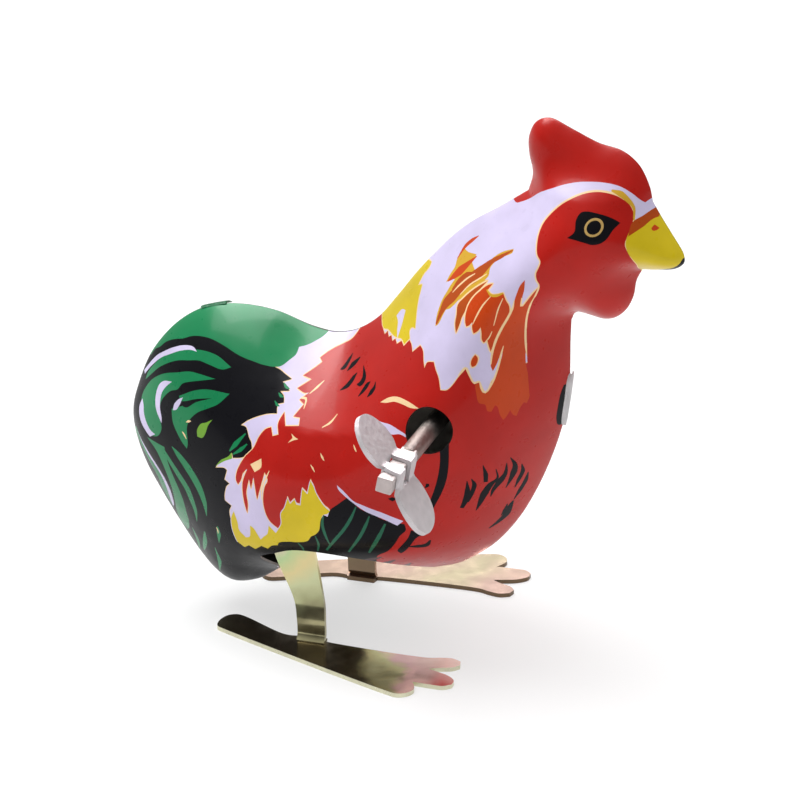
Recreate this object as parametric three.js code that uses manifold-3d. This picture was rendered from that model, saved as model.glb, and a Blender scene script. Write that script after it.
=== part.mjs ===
// Wind-up hopping chicken: two pressed tin shells round a clockwork motor that kicks a pair of flat feet.
// Millimetres. +X points to the beak, +Y to the bird's left side, +Z up, with the soles on z = 0.
// Everything is drawn about the seam between the shells (y = 0), then moved as one group so that the origin
// is the bottom centre of the whole toy, key included.
import * as THREE from 'three';
import { mergeVertices } from 'three/addons/utils/BufferGeometryUtils.js';
import Module from 'manifold-3d';

const wasm = await Module();
wasm.setup();

// ---- driving dimensions ----
const RIGHT = -1;
const LEFT = 1;
const GAP = 0.3;                 // between pieces that touch
const RUNNING = 0.2;             // round a shaft in its hole
const WALL = 0.6;                // tinplate of the shells
const SHELL_STEP = 3.2;          // facet size of the shells
const FULLNESS = 2.0;            // half width = FULLNESS * (smooth distance to the seam) ^ DRAFT
const DRAFT = 0.85;

const KEY_AXIS = [10.2, 41.3];   // x, z of the winding arbor
const KEY_HOLE_R = 3.65;
const KEY_TILT = THREE.MathUtils.degToRad(-56);
const SQUARE_TILT = THREE.MathUtils.degToRad(-11);   // the wings run along a diagonal of the square
const SOCKET = 4.6;
const KEY_SPAN = 10.1;           // axis to wing tip
const KEY_NEAR = -39.8;          // y range of the wings
const KEY_FAR = -30.5;
const ARBOR_R = 1.5;
const ARBOR_SQUARE = 2.6;
const ARBOR_END = -40.6;

const PLATE_IN = 6.6;            // inner face of a frame plate, from the seam
const PLATE = 0.8;
const PILLAR_R = 1.1;
const RIVET_R = 0.7;
const PILLARS = {
  front: [17, 32.6],
  top: [8.5, 52.4],
  rear: [-12.5, 33.5],
  lower: [6.0, 20.5],
};

const GEAR_MODULE = 0.45;
const MESH_SLACK = 0.15;         // added to each centre distance
const GREAT_TEETH = 40;
const SECOND_PINION_TEETH = 10;
const SECOND_TEETH = 36;
const CAM_PINION_TEETH = 9;
const RATCHET_TEETH = 12;
const RATCHET_R = 4.0;
const SHAFT_R = 0.9;
const PIVOT_R = 0.6;
const TO_SECOND = THREE.MathUtils.degToRad(214);   // direction of each shaft from the one before
const TO_CAM = THREE.MathUtils.degToRad(223);
const CAM_R = 4.4;
const SPRING_R = 8.4;

const LEG_AXLE = [-14.6, 20.0];
const LEG_AXLE_R = 1.1;
const LEG_IN = 11.4;             // inner face of a leg strip, from the seam
const LEG_SHEET = 0.8;
const FOOT_SHEET = 1.0;

const SHIFT_Y = 6.65;            // from the seam to the middle of the toy's width

// ---- outline of the seam, x and z, as spline runs that meet at corners ----
const BACK = [[-20.5, 6.2], [-24, 3.9], [-28.2, 3], [-31.1, 4.5], [-34.2, 7.9], [-37.4, 12.5], [-40.4, 17.3],
  [-43, 22.1], [-44.6, 27], [-44.9, 31], [-43.8, 35.5], [-41.4, 41.2], [-37, 46.6], [-32.2, 49.7], [-27, 50.8],
  [-20.7, 50.4], [-14.6, 48.5], [-10.8, 48], [-7.5, 48.8], [-4, 51.2], [-0.7, 55.3], [2.6, 59.8], [5.8, 63.6],
  [8.9, 66.9], [12.1, 69.5], [15.4, 71.6], [20.2, 75]];
const COMB = [[20.2, 75], [20.9, 77.8], [20.3, 80.8], [20.2, 83.6], [21.3, 86.1], [23.4, 87], [27, 85.6],
  [31.2, 83.8], [35, 82.9], [37.6, 80.9], [39.3, 77.6], [39.8, 75.3]];
const BEAK = [[39.8, 75.3], [41.6, 72.4], [43.6, 69.4], [44.8, 67.4], [44.9, 66], [43.6, 64.9], [40.9, 64.4],
  [38.4, 64.2]];
const WATTLE = [[38.4, 64.2], [37.5, 62.3], [37.1, 59.8], [36, 57.4], [34.2, 55.8], [32.4, 55.4], [30.2, 55.8],
  [28, 56], [27.3, 54.6]];
const BREAST = [[27.3, 54.6], [27.2, 51.2], [27.2, 47], [27.1, 42], [26, 36.5], [24.3, 31], [22, 25.4],
  [19.3, 20.4], [15.9, 16], [12.6, 13.2], [9.4, 11.2], [6.3, 10.2]];
// where the belly would close, and the free edge of the leg opening that is really cut there
const BELLY = [[6.3, 10.2], [0, 8], [-8, 6.6], [-14.5, 6.2], [-20.5, 6.2]];
const OPENING = [[6.3, 10.2], [4.2, 13.2], [0.5, 15.9], [-5, 17], [-12.7, 17], [-16, 15.6], [-19.6, 13.2],
  [-18.6, 9.8], [-20.5, 6.2]];

// fuller and leaner places: [amount, x, z, reach along x, reach along z]
const SWELLS = [
  [0.06, -8, 13, 14, 10],    // round the legs
  [0.15, -18, 12, 9, 8],     // behind the legs
  [0.3, 6, 16, 12, 9],       // underside of the breast
  [0.3, 23, 35, 9, 16],      // breast
  [0.12, 9, 41, 16, 13],     // flank at the key
  [-0.27, -36, 28, 17, 22],  // tail
  [-0.38, 28, 83, 13, 7],    // comb
  [-0.15, 32, 58, 7, 6],     // wattle
];

// ---- small geometry tools ----
function spline(points, step) {
  const curve = new THREE.CatmullRomCurve3(points.map(([x, z]) => new THREE.Vector3(x, 0, z)));
  const count = Math.max(2, Math.round(curve.getLength() / step));
  return curve.getSpacedPoints(count).slice(0, -1).map((p) => [p.x, p.z]);
}

function closedOutline(runs, step) {
  return runs.flatMap((run) => spline(run, step));
}

function insideOutline(outline, x, z) {
  let inside = false;
  outline.forEach(([ax, az], i) => {
    const [bx, bz] = outline[(i + 1) % outline.length];
    if ((az > z) !== (bz > z) && x < ax + ((z - az) / (bz - az)) * (bx - ax)) inside = !inside;
  });
  return inside;
}

function circlePoints([x, z], radius, count, turn = 0) {
  return Array.from({ length: count }, (_, i) => {
    const angle = turn + (2 * Math.PI * i) / count;
    return [x + radius * Math.cos(angle), z + radius * Math.sin(angle)];
  });
}

const polar = ([x, z], radius, angle) => [x + radius * Math.cos(angle), z + radius * Math.sin(angle)];

function shapeOf(outline, holes = []) {
  const shape = new THREE.Shape(outline.map(([x, z]) => new THREE.Vector2(x, z)));
  holes.forEach((hole) => shape.holes.push(new THREE.Path(hole.map(([x, z]) => new THREE.Vector2(x, z)))));
  return shape;
}

// A flat piece drawn in x and z, from y = low to y = high.
function plate(outline, low, high, holes = []) {
  const geometry = new THREE.ExtrudeGeometry(shapeOf(outline, holes), { depth: high - low, bevelEnabled: false });
  return geometry.rotateX(Math.PI / 2).translate(0, high, 0);
}

// A turned piece on an axis along Y at [x, z], from its [y, radius] profile.
function turned([x, z], profile, sides = 12) {
  const points = profile.map(([y, radius]) => new THREE.Vector2(radius, y));
  return new THREE.LatheGeometry([...points], sides).translate(x, 0, z);
}

const rod = (axis, low, high, radius, sides = 12) =>
  turned(axis, [[low, 0], [low, radius], [high, radius], [high, 0]], sides);

const tube = (axis, low, high, inner, outer, sides = 12) =>
  turned(axis, [[low, inner], [low, outer], [high, outer], [high, inner], [low, inner]], sides);

function solid(geometry) {
  const bare = geometry.clone();
  bare.deleteAttribute('normal');
  bare.deleteAttribute('uv');
  const merged = mergeVertices(bare, 1e-4);
  const index = merged.index.array;
  const triangles = [];
  for (let i = 0; i < index.length; i += 3) {
    const [a, b, c] = [index[i], index[i + 1], index[i + 2]];
    if (a !== b && b !== c && c !== a) triangles.push(a, b, c);
  }
  return new wasm.Manifold(new wasm.Mesh({
    numProp: 3,
    vertProperties: new Float32Array(merged.attributes.position.array),
    triVerts: new Uint32Array(triangles),
  }));
}

function geometryOf(manifold) {
  const mesh = manifold.getMesh();
  const geometry = new THREE.BufferGeometry();
  geometry.setAttribute('position', new THREE.BufferAttribute(new Float32Array(mesh.vertProperties), 3));
  geometry.setIndex(new THREE.BufferAttribute(new Uint32Array(mesh.triVerts), 1));
  geometry.computeVertexNormals();
  return geometry;
}

const joined = (...pieces) => geometryOf(pieces.map(solid).reduce((sum, piece) => sum.add(piece)));
const cut = (body, ...tools) => geometryOf(tools.map(solid).reduce((rest, tool) => rest.subtract(tool), solid(body)));

// ---- body surface ----
const SEAM_OUTLINE = closedOutline([BACK, COMB, BEAK, WATTLE, BREAST, BELLY], 1);

// A distance to the whole outline that has no creases: exact next to a straight edge, smaller in narrow places.
function smoothDistance(x, z) {
  let sum = 0;
  SEAM_OUTLINE.forEach(([ax, az], i) => {
    const [bx, bz] = SEAM_OUTLINE[(i + 1) % SEAM_OUTLINE.length];
    const length = Math.hypot(bx - ax, bz - az);
    const [ux, uz] = [(bx - ax) / length, (bz - az) / length];
    const start = (ax - x) * ux + (az - z) * uz;
    const end = start + length;
    const offset = Math.max(((ax - x) * uz - (az - z) * ux) ** 2, 1e-6);
    sum += (end / Math.sqrt(offset + end * end) - start / Math.sqrt(offset + start * start)) / offset;
  });
  return Math.sqrt(2 / sum);
}

function halfWidth(x, z) {
  const swell = SWELLS.reduce((sum, [amount, sx, sz, rx, rz]) =>
    sum + amount * Math.exp(-(((x - sx) / rx) ** 2) - ((z - sz) / rz) ** 2), 1);
  const width = FULLNESS * smoothDistance(x, z) ** DRAFT * swell;
  return insideOutline(SEAM_OUTLINE, x, z) ? width : -width;
}

// Delaunay triangles of a set of points, counter-clockwise in x and z.
function delaunay(points) {
  const all = [...points, [-900, -700], [900, -700], [0, 1100]];
  const circle = (a, b, c) => {
    const [[ax, ay], [bx, by], [cx, cy]] = [all[a], all[b], all[c]];
    const d = 2 * (ax * (by - cy) + bx * (cy - ay) + cx * (ay - by));
    const [aa, bb, cc] = [ax * ax + ay * ay, bx * bx + by * by, cx * cx + cy * cy];
    const x = (aa * (by - cy) + bb * (cy - ay) + cc * (ay - by)) / d;
    const y = (aa * (cx - bx) + bb * (ax - cx) + cc * (bx - ax)) / d;
    return { corners: [a, b, c], x, y, r2: (ax - x) ** 2 + (ay - y) ** 2 };
  };
  let triangles = [circle(points.length, points.length + 1, points.length + 2)];
  points.forEach(([x, y], i) => {
    const edges = new Map();
    const kept = [];
    for (const t of triangles) {
      if ((x - t.x) ** 2 + (y - t.y) ** 2 >= t.r2) {
        kept.push(t);
        continue;
      }
      const [a, b, c] = t.corners;
      for (const [p, q] of [[a, b], [b, c], [c, a]]) {
        if (!edges.delete(`${q},${p}`)) edges.set(`${p},${q}`, [p, q]);
      }
    }
    edges.forEach(([p, q]) => kept.push(circle(p, q, i)));
    triangles = kept;
  });
  return triangles.map((t) => t.corners).filter((corners) => corners.every((c) => c < points.length));
}

function gridPoints(rim, hole) {
  const points = [];
  const rowHeight = SHELL_STEP * 1.1;
  for (let row = 0, z = 1; z < 90; row += 1, z += rowHeight) {
    for (let x = -46 + (row % 2) * 2; x < 46; x += SHELL_STEP * 1.25) {
      const clear = [...rim, ...hole].every(([rx, rz]) => Math.hypot(rx - x, rz - z) > SHELL_STEP * 0.62);
      if (clear && insideOutline(rim, x, z) && !(hole.length && insideOutline(hole, x, z))) points.push([x, z]);
    }
  }
  return points;
}

function shellHalf(side) {
  const rim = closedOutline([BACK, COMB, BEAK, WATTLE, BREAST, OPENING], SHELL_STEP);
  const hole = side === RIGHT ? circlePoints(KEY_AXIS, KEY_HOLE_R, 14) : [];
  const points = [...rim, ...hole, ...gridPoints(rim, hole)];
  const faces = delaunay(points).filter((corners) => {
    const x = (points[corners[0]][0] + points[corners[1]][0] + points[corners[2]][0]) / 3;
    const z = (points[corners[0]][1] + points[corners[1]][1] + points[corners[2]][1]) / 3;
    return insideOutline(rim, x, z) && !(hole.length && insideOutline(hole, x, z));
  });
  const outer = [];
  const inner = [];
  const probe = 0.4;
  for (const [x, z] of points) {
    const width = Math.max(halfWidth(x, z), GAP / 2);
    const slopeX = (halfWidth(x + probe, z) - halfWidth(x - probe, z)) / (2 * probe);
    const slopeZ = (halfWidth(x, z + probe) - halfWidth(x, z - probe)) / (2 * probe);
    const reach = WALL / Math.hypot(slopeX, slopeZ, 1);
    outer.push(x, side * width, z);
    inner.push(x + slopeX * reach, side * Math.max(width - reach, GAP / 2), z + slopeZ * reach);
  }
  const triangles = [];
  const add = (a, b, c) => triangles.push(...(side === RIGHT ? [a, b, c] : [a, c, b]));
  const count = points.length;
  const open = new Map();
  for (const [a, b, c] of faces) {
    add(a, b, c);
    add(a + count, c + count, b + count);
    for (const [p, q] of [[a, b], [b, c], [c, a]]) {
      if (!open.delete(`${q},${p}`)) open.set(`${p},${q}`, [p, q]);
    }
  }
  open.forEach(([p, q]) => {
    add(q, p, p + count);
    add(q, p + count, q + count);
  });
  const geometry = new THREE.BufferGeometry();
  geometry.setAttribute('position', new THREE.BufferAttribute(new Float32Array([...outer, ...inner]), 3));
  geometry.setIndex(triangles);
  return geometry;
}

// A tab bent over the seam towards one side. Its section is drawn as [y, height] for the right side.
function seamTab(side, [x, z], tangent, length) {
  const section = [[1.6, -0.35], [0.8, 0.45], [0, 0.78], [-1, 0.4], [-3.2, -0.9], [-3.2, -1.3], [-1, 0],
    [-0.1, 0.38], [0.4, 0.3], [0.5, -0.4], [1.6, -1.1]];
  const shape = new THREE.Shape(section.map(([y, height]) => new THREE.Vector2(-side * y, height)));
  const geometry = new THREE.ExtrudeGeometry(shape, { depth: length, bevelEnabled: false });
  const along = new THREE.Vector3(tangent[0], 0, tangent[1]).normalize();
  const across = new THREE.Vector3(0, 1, 0);
  const up = new THREE.Vector3().crossVectors(along, across);
  const place = new THREE.Matrix4().makeBasis(across, up, along);
  place.setPosition(x - (along.x * length) / 2, 0, z - (along.z * length) / 2);
  return geometry.applyMatrix4(place);
}

// ---- clockwork ----
const pinionDistance = (a, b) => ((a + b) / 2) * GEAR_MODULE + MESH_SLACK;
const SECOND_AXIS = polar(KEY_AXIS, pinionDistance(GREAT_TEETH, SECOND_PINION_TEETH), TO_SECOND);
const CAM_AXIS = polar(SECOND_AXIS, pinionDistance(SECOND_TEETH, CAM_PINION_TEETH), TO_CAM);

// A spur gear with a tooth centred on the angle `turn`.
function gear(axis, teeth, low, high, bore, turn) {
  const pitch = (teeth * GEAR_MODULE) / 2;
  const step = (2 * Math.PI) / teeth;
  const tooth = [[pitch - 1.15 * GEAR_MODULE, -0.36], [pitch + 0.85 * GEAR_MODULE, -0.1],
    [pitch + 0.85 * GEAR_MODULE, 0.1], [pitch - 1.15 * GEAR_MODULE, 0.36]];
  const outline = [];
  for (let i = 0; i < teeth; i += 1) {
    for (const [radius, share] of tooth) outline.push(polar(axis, radius, turn + (i + share) * step));
  }
  return plate(outline, low, high, [circlePoints(axis, bore, 12)]);
}

function ratchetWheel() {
  const outline = [];
  for (let i = 0; i < RATCHET_TEETH; i += 1) {
    const angle = (2 * Math.PI * i) / RATCHET_TEETH;
    outline.push(polar(KEY_AXIS, RATCHET_R, angle), polar(KEY_AXIS, RATCHET_R - 1.1, angle + 0.08));
  }
  return plate(outline, 0.2, 1.1, [circlePoints(KEY_AXIS, ARBOR_R + RUNNING, 12)]);
}

function hopCam() {
  const outline = [];
  for (let i = 0; i < 36; i += 1) {
    const angle = (2 * Math.PI * i) / 36;
    outline.push(polar(CAM_AXIS, 3.3 + (CAM_R - 3.3) * Math.cos(2 * angle + 0.9), angle));
  }
  return plate(outline, -2.4, -0.6, [circlePoints(CAM_AXIS, SHAFT_R + RUNNING, 12)]);
}

// A strip of constant thickness along a path in x and z.
function strip(path, thickness, low, high) {
  const sides = [1, -1].map((side) => path.map(([x, z], i) => {
    const [px, pz] = path[Math.max(i - 1, 0)];
    const [nx, nz] = path[Math.min(i + 1, path.length - 1)];
    const length = Math.hypot(nx - px, nz - pz);
    const offset = (side * thickness) / 2 / length;
    return [x - (nz - pz) * offset, z + (nx - px) * offset];
  }));
  return plate([...sides[0], ...sides[1].reverse()], low, high);
}

function mainspring() {
  const turns = 5;
  const perTurn = 20;
  const end = Math.atan2(PILLARS.front[1] - KEY_AXIS[1], PILLARS.front[0] - KEY_AXIS[0]) - 0.35;
  const path = [];
  for (let i = 0; i <= turns * perTurn; i += 1) {
    const share = i / (turns * perTurn);
    path.push(polar(KEY_AXIS, 2.1 + (SPRING_R - 2.1) * share, end + (share - 1) * turns * 2 * Math.PI));
  }
  const hook = PILLAR_R + GAP + 0.2;
  for (const angle of [-2.2, -1.2, -0.2, 0.8, 1.8]) path.push(polar(PILLARS.front, hook, angle));
  return strip(path, 0.3, -6.1, -0.6);
}

function framePlate(side) {
  const outline = [[18.4, 31.4], [18.6, 43.5], [15, 50], [10.8, 54.2], [6.4, 54.2], [2, 48.5], [-6, 40.5], [-14.5, 36],
    [-17.8, 24], [-17.8, 17.4], [-12, 16.9], [4, 17.6], [9.5, 19.8], [14.5, 26]];
  const holes = [
    circlePoints(KEY_AXIS, (side === RIGHT ? ARBOR_R : 1) + RUNNING, 12),
    circlePoints(SECOND_AXIS, PIVOT_R + RUNNING, 10),
    circlePoints(CAM_AXIS, PIVOT_R + RUNNING, 10),
    circlePoints(LEG_AXLE, LEG_AXLE_R + RUNNING, 12),
    ...Object.values(PILLARS).map((axis) => circlePoints(axis, RIVET_R + RUNNING, 10)),
  ];
  const ends = side === RIGHT ? [-PLATE_IN - PLATE, -PLATE_IN] : [PLATE_IN, PLATE_IN + PLATE];
  return plate(outline, ...ends, holes);
}

// A pillar with a rivet head outside each frame plate.
function pillar(axis) {
  const shoulder = PLATE_IN - RUNNING;
  const face = PLATE_IN + PLATE + RUNNING;
  const half = [[shoulder, PILLAR_R], [shoulder, RIVET_R], [face, RIVET_R], [face, PILLAR_R], [face + 0.3, 0.8],
    [face + 0.45, 0]];
  const mirrored = half.map(([y, radius]) => [-y, radius]).reverse();
  return turned(axis, [...mirrored, ...half], 10);
}

function pivotedShaft(axis) {
  const shoulder = PLATE_IN - RUNNING;
  const end = PLATE_IN + PLATE + 0.2;
  return turned(axis, [[-end, 0], [-end, PIVOT_R], [-shoulder, PIVOT_R], [-shoulder, SHAFT_R],
    [shoulder, SHAFT_R], [shoulder, PIVOT_R], [end, PIVOT_R], [end, 0]], 10);
}

// A block along Y, turned to the key's tilt, centred on the arbor.
function tiltedBlock(along, across, low, high, tilt) {
  return new THREE.BoxGeometry(along, high - low, across)
    .rotateY(-tilt)
    .translate(KEY_AXIS[0], (low + high) / 2, KEY_AXIS[1]);
}

function windingArbor() {
  const left = PLATE_IN + PLATE + 0.2;
  const shoulder = PLATE_IN - RUNNING;
  const round = turned(KEY_AXIS, [[-28.5, 0], [-28.5, ARBOR_R], [shoulder, ARBOR_R], [shoulder, 1], [left, 1],
    [left, 0]], 14);
  return joined(round, tiltedBlock(ARBOR_SQUARE, ARBOR_SQUARE, ARBOR_END, -28, SQUARE_TILT));
}

// One stamped sheet: two oval wings and a socket for the squared arbor.
function windingKey() {
  const middle = (KEY_NEAR + KEY_FAR) / 2;
  const half = (KEY_FAR - KEY_NEAR) / 2;
  const outline = [];
  for (let i = 0; i < 32; i += 1) {
    const angle = (2 * Math.PI * i) / 32;
    const [c, s] = [Math.cos(angle), Math.sin(angle)];
    const along = Math.sign(c) * KEY_SPAN * Math.abs(c) ** 0.8;
    const waist = 1 - 0.16 * Math.exp(-((along / 3) ** 2));
    outline.push(new THREE.Vector2(along, waist * half * Math.sign(s) * Math.abs(s) ** 0.8));
  }
  const wings = new THREE.ExtrudeGeometry(new THREE.Shape(outline), { depth: 1, bevelEnabled: false })
    .translate(0, middle, -0.5)
    .rotateY(-KEY_TILT)
    .translate(KEY_AXIS[0], 0, KEY_AXIS[1]);
  const socket = tiltedBlock(SOCKET, SOCKET, -38.7, -30.9, SQUARE_TILT);
  const bore = ARBOR_SQUARE + 2 * GAP;
  return cut(joined(wings, socket), tiltedBlock(bore, bore, -45, -25, SQUARE_TILT));
}

// ---- legs ----
const FOOT = [[-27, 11.4], [-26.7, 9], [-25.6, 7.7], [-24.2, 7.6], [-16, 12.2], [-13.2, 12], [-13.1, 11.6],
  [-8.5, 11.6], [-8.2, 13.1], [8.9, 13.6], [11.6, 13],
  [13.6, 13.3], [14.1, 14.6], [13.2, 15.9], [9.7, 17.7], [13.2, 18.9], [14.9, 20.2], [14.6, 22], [12.8, 22.6],
  [8.7, 22.8], [9.7, 24.6], [9.3, 26.6], [7.6, 27.3], [6.2, 26.9], [-25.6, 13.2]];
const LEG = [[-17.4, 20.2], [-16.8, 22], [-14.9, 22.9], [-12.8, 22.2], [-11.6, 20.2], [-10.4, 15], [-8.5, 5],
  [-8.6, 0.3], [-13, 0.3], [-13.4, 5], [-17.2, 15]];

// One sheet: a flat foot with three toes and the strip bent up from its inner edge to the leg axle.
function legAndFoot(side) {
  const foot = new THREE.ExtrudeGeometry(
    new THREE.Shape(FOOT.map(([x, y]) => new THREE.Vector2(x, side * y))),
    { depth: FOOT_SHEET, bevelEnabled: false },
  );
  const inside = side * LEG_IN;
  const outside = side * (LEG_IN + LEG_SHEET);
  const bore = circlePoints(LEG_AXLE, LEG_AXLE_R + RUNNING, 12);
  return joined(foot, plate(LEG, Math.min(inside, outside), Math.max(inside, outside), [bore]));
}

function legAxle() {
  const face = LEG_IN + LEG_SHEET + RUNNING;
  return turned(LEG_AXLE, [[-face - 0.5, 0], [-face - 0.4, 1.2], [-face, 1.8], [-face, LEG_AXLE_R],
    [face, LEG_AXLE_R], [face, 1.8], [face + 0.4, 1.2], [face + 0.5, 0]], 12);
}

function axleSpacer(side) {
  const ends = [side * (PLATE_IN + PLATE + GAP), side * (LEG_IN - GAP)];
  return tube(LEG_AXLE, Math.min(...ends), Math.max(...ends), LEG_AXLE_R + RUNNING, 2.2);
}

// The lever under the cam: its hub is fixed on the leg axle.
function hopLever() {
  const hub = circlePoints(LEG_AXLE, 2.6, 16, 0.2).slice(1, 15);
  const tip = circlePoints([-3.6, 21.0], 1.1, 8, -Math.PI / 2).slice(0, 5);
  return plate([...hub, ...tip], -2.4, -0.6, [circlePoints(LEG_AXLE, LEG_AXLE_R + RUNNING, 12)]);
}

// Torsion spring round the axle: one tail bears on the rear pillar, the other on the underside of the lever.
function returnSpring() {
  const points = [];
  const [x, z] = LEG_AXLE;
  const radius = LEG_AXLE_R + 0.85;
  points.push(new THREE.Vector3(x - 1.2, 5.2, 31), new THREE.Vector3(x - 1.7, 5.1, 25));
  for (let i = 0; i <= 30; i += 1) {
    const angle = Math.PI - (2 * Math.PI * i * 3.25) / 30;
    points.push(new THREE.Vector3(x + radius * Math.cos(angle), 5 - i * 0.13, z + radius * Math.sin(angle)));
  }
  const under = z - radius - 0.3;
  points.push(new THREE.Vector3(x + 3.5, 0.9, under + 0.2), new THREE.Vector3(x + 6, -0.4, under + 0.5),
    new THREE.Vector3(x + 7.5, -2.2, under + 0.6));
  const path = new THREE.CatmullRomCurve3(points);
  const wire = new THREE.Shape(circlePoints([0, 0], 0.27, 5).map(([a, b]) => new THREE.Vector2(a, b)));
  return new THREE.ExtrudeGeometry(wire, { extrudePath: path, steps: 76, bevelEnabled: false });
}

// ---- click: the pawl on the great wheel that holds the ratchet ----
const CLICK_PIVOT = polar(KEY_AXIS, 6.6, 2.2);

function clickPawl() {
  const tip = polar(KEY_AXIS, RATCHET_R + GAP, 1.45);
  const heel = polar(KEY_AXIS, RATCHET_R + 1.5, 1.5);
  const hub = circlePoints(CLICK_PIVOT, 1.2, 12);
  const outline = new THREE.Shape([...hub.map(([x, z]) => new THREE.Vector2(x, z))]);
  const body = new THREE.ExtrudeGeometry(outline, { depth: 0.8, bevelEnabled: false });
  body.rotateX(Math.PI / 2).translate(0, 1.05, 0);
  const arm = plate([tip, heel, polar(CLICK_PIVOT, 1.1, 1.4), polar(CLICK_PIVOT, 1.1, -1.2)], 0.25, 1.05);
  return cut(joined(body, arm), rod(CLICK_PIVOT, -1, 3, 0.5 + RUNNING, 10));
}

function clickRivet() {
  return turned(CLICK_PIVOT, [[-0.25, 0], [-0.25, 0.95], [0.05, 0.95], [0.05, 0.5], [2.5, 0.5], [2.5, 0.9],
    [2.8, 0.9], [2.8, 0]], 10);
}

function clickSpring() {
  const points = [polar(CLICK_PIVOT, 1.75, 3.6), polar(CLICK_PIVOT, 1.7, 2.8), polar(CLICK_PIVOT, 1.65, 2.0),
    polar(KEY_AXIS, 7.9, 1.75), polar(KEY_AXIS, 6.6, 1.5)];
  return strip(points, 0.25, 0.3, 1.0);
}

// ---- the toy ----
const tin = { color: 0xb5201a, roughness: 0.32, metalness: 0.1 };
const zinc = { color: 0xb9a86a, roughness: 0.35, metalness: 0.9 };
const nickel = { color: 0xc9c5c6, roughness: 0.38, metalness: 0.85 };
const steel = { color: 0x9c9c9e, roughness: 0.45, metalness: 0.9 };
const brass = { color: 0xc2a04a, roughness: 0.4, metalness: 0.9 };
const blued = { color: 0x39414d, roughness: 0.35, metalness: 0.9 };

const bird = new THREE.Group();
bird.position.set(0, SHIFT_Y, 0);

function put(name, geometry, finish) {
  const mesh = new THREE.Mesh(geometry, new THREE.MeshStandardMaterial(finish));
  mesh.name = name;
  bird.add(mesh);
}

put('shell_right', joined(shellHalf(RIGHT), seamTab(LEFT, [-31, 50], [1, 0.32], 4.4)), tin);
put('shell_left', joined(
  shellHalf(LEFT),
  seamTab(RIGHT, [27.2, 46.5], [0, -1], 9),
), tin);

put('frame_plate_right', framePlate(RIGHT), steel);
put('frame_plate_left', framePlate(LEFT), steel);
Object.entries(PILLARS).forEach(([name, axis]) => put(`frame_pillar_${name}`, pillar(axis), steel));
put('frame_strap_lower', plate([[-2, 17.1], [4, 17.2], [4, 16.6], [-2, 16.5]], -9.6, 9.6), steel);
put('frame_strap_upper', plate([[-9, 41.3], [-4, 43.4], [-4.3, 44], [-9.2, 41.9]], -7.4, 7.4), steel);
put('mainspring', mainspring(), blued);

put('winding_arbor', windingArbor(), nickel);
put('winding_key', windingKey(), nickel);
put('ratchet_wheel', ratchetWheel(), brass);

const centre = (from, to) => Math.atan2(to[1] - from[1], to[0] - from[0]);
const towardSecond = centre(KEY_AXIS, SECOND_AXIS);
const towardCam = centre(SECOND_AXIS, CAM_AXIS);
put('great_wheel', cut(
  gear(KEY_AXIS, GREAT_TEETH, 1.4, 2.2, ARBOR_R + RUNNING, towardSecond),
  rod(CLICK_PIVOT, 0, 4, 0.5 + RUNNING, 10),
), brass);
put('click_pawl', clickPawl(), steel);
put('click_rivet', clickRivet(), steel);
put('click_spring', clickSpring(), blued);

put('second_shaft', pivotedShaft(SECOND_AXIS), steel);
put('second_pinion', gear(SECOND_AXIS, SECOND_PINION_TEETH, 0.8, 2.8, SHAFT_R + RUNNING,
  towardSecond + Math.PI + Math.PI / SECOND_PINION_TEETH), steel);
put('second_wheel', gear(SECOND_AXIS, SECOND_TEETH, 3.6, 4.4, SHAFT_R + RUNNING, towardCam), brass);

put('cam_shaft', pivotedShaft(CAM_AXIS), steel);
put('cam_pinion', gear(CAM_AXIS, CAM_PINION_TEETH, 3.0, 5.0, SHAFT_R + RUNNING,
  towardCam + Math.PI + Math.PI / CAM_PINION_TEETH), steel);
put('hop_cam', hopCam(), steel);

put('leg_right', legAndFoot(RIGHT), zinc);
put('leg_left', legAndFoot(LEFT), zinc);
put('leg_axle', legAxle(), steel);
put('axle_spacer_right', axleSpacer(RIGHT), steel);
put('axle_spacer_left', axleSpacer(LEFT), steel);
put('hop_lever', hopLever(), steel);
put('return_spring', returnSpring(), blued);

export default bird;
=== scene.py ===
"""Wind-up hopping chicken: printed tinplate shells, stamped key, zinc-plated legs, clockwork inside.

Lengths below are in millimetres. x and z are measured in the seam plane, y away from the seam.
"""

import math

import bmesh
import bpy
import numpy as np
from mathutils import Matrix, Vector
from mathutils.geometry import delaunay_2d_cdt
from mathutils.kdtree import KDTree


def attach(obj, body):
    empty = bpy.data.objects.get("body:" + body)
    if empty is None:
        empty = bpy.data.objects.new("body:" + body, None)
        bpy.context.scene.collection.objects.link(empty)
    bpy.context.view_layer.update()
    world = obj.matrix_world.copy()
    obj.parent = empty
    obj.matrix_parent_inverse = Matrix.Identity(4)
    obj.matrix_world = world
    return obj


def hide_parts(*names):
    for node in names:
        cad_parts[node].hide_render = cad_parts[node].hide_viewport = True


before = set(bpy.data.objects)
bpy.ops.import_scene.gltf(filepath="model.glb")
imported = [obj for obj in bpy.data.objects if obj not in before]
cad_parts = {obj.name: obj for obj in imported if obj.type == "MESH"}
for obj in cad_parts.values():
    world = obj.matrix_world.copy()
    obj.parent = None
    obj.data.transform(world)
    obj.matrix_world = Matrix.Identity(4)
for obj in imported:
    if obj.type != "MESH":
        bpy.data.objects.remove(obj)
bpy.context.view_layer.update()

MM = 0.001
SEAM_Y = 6.65                 # the seam plane in the row frame
RIGHT = -1                    # the side with the key
LEFT = 1

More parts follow.
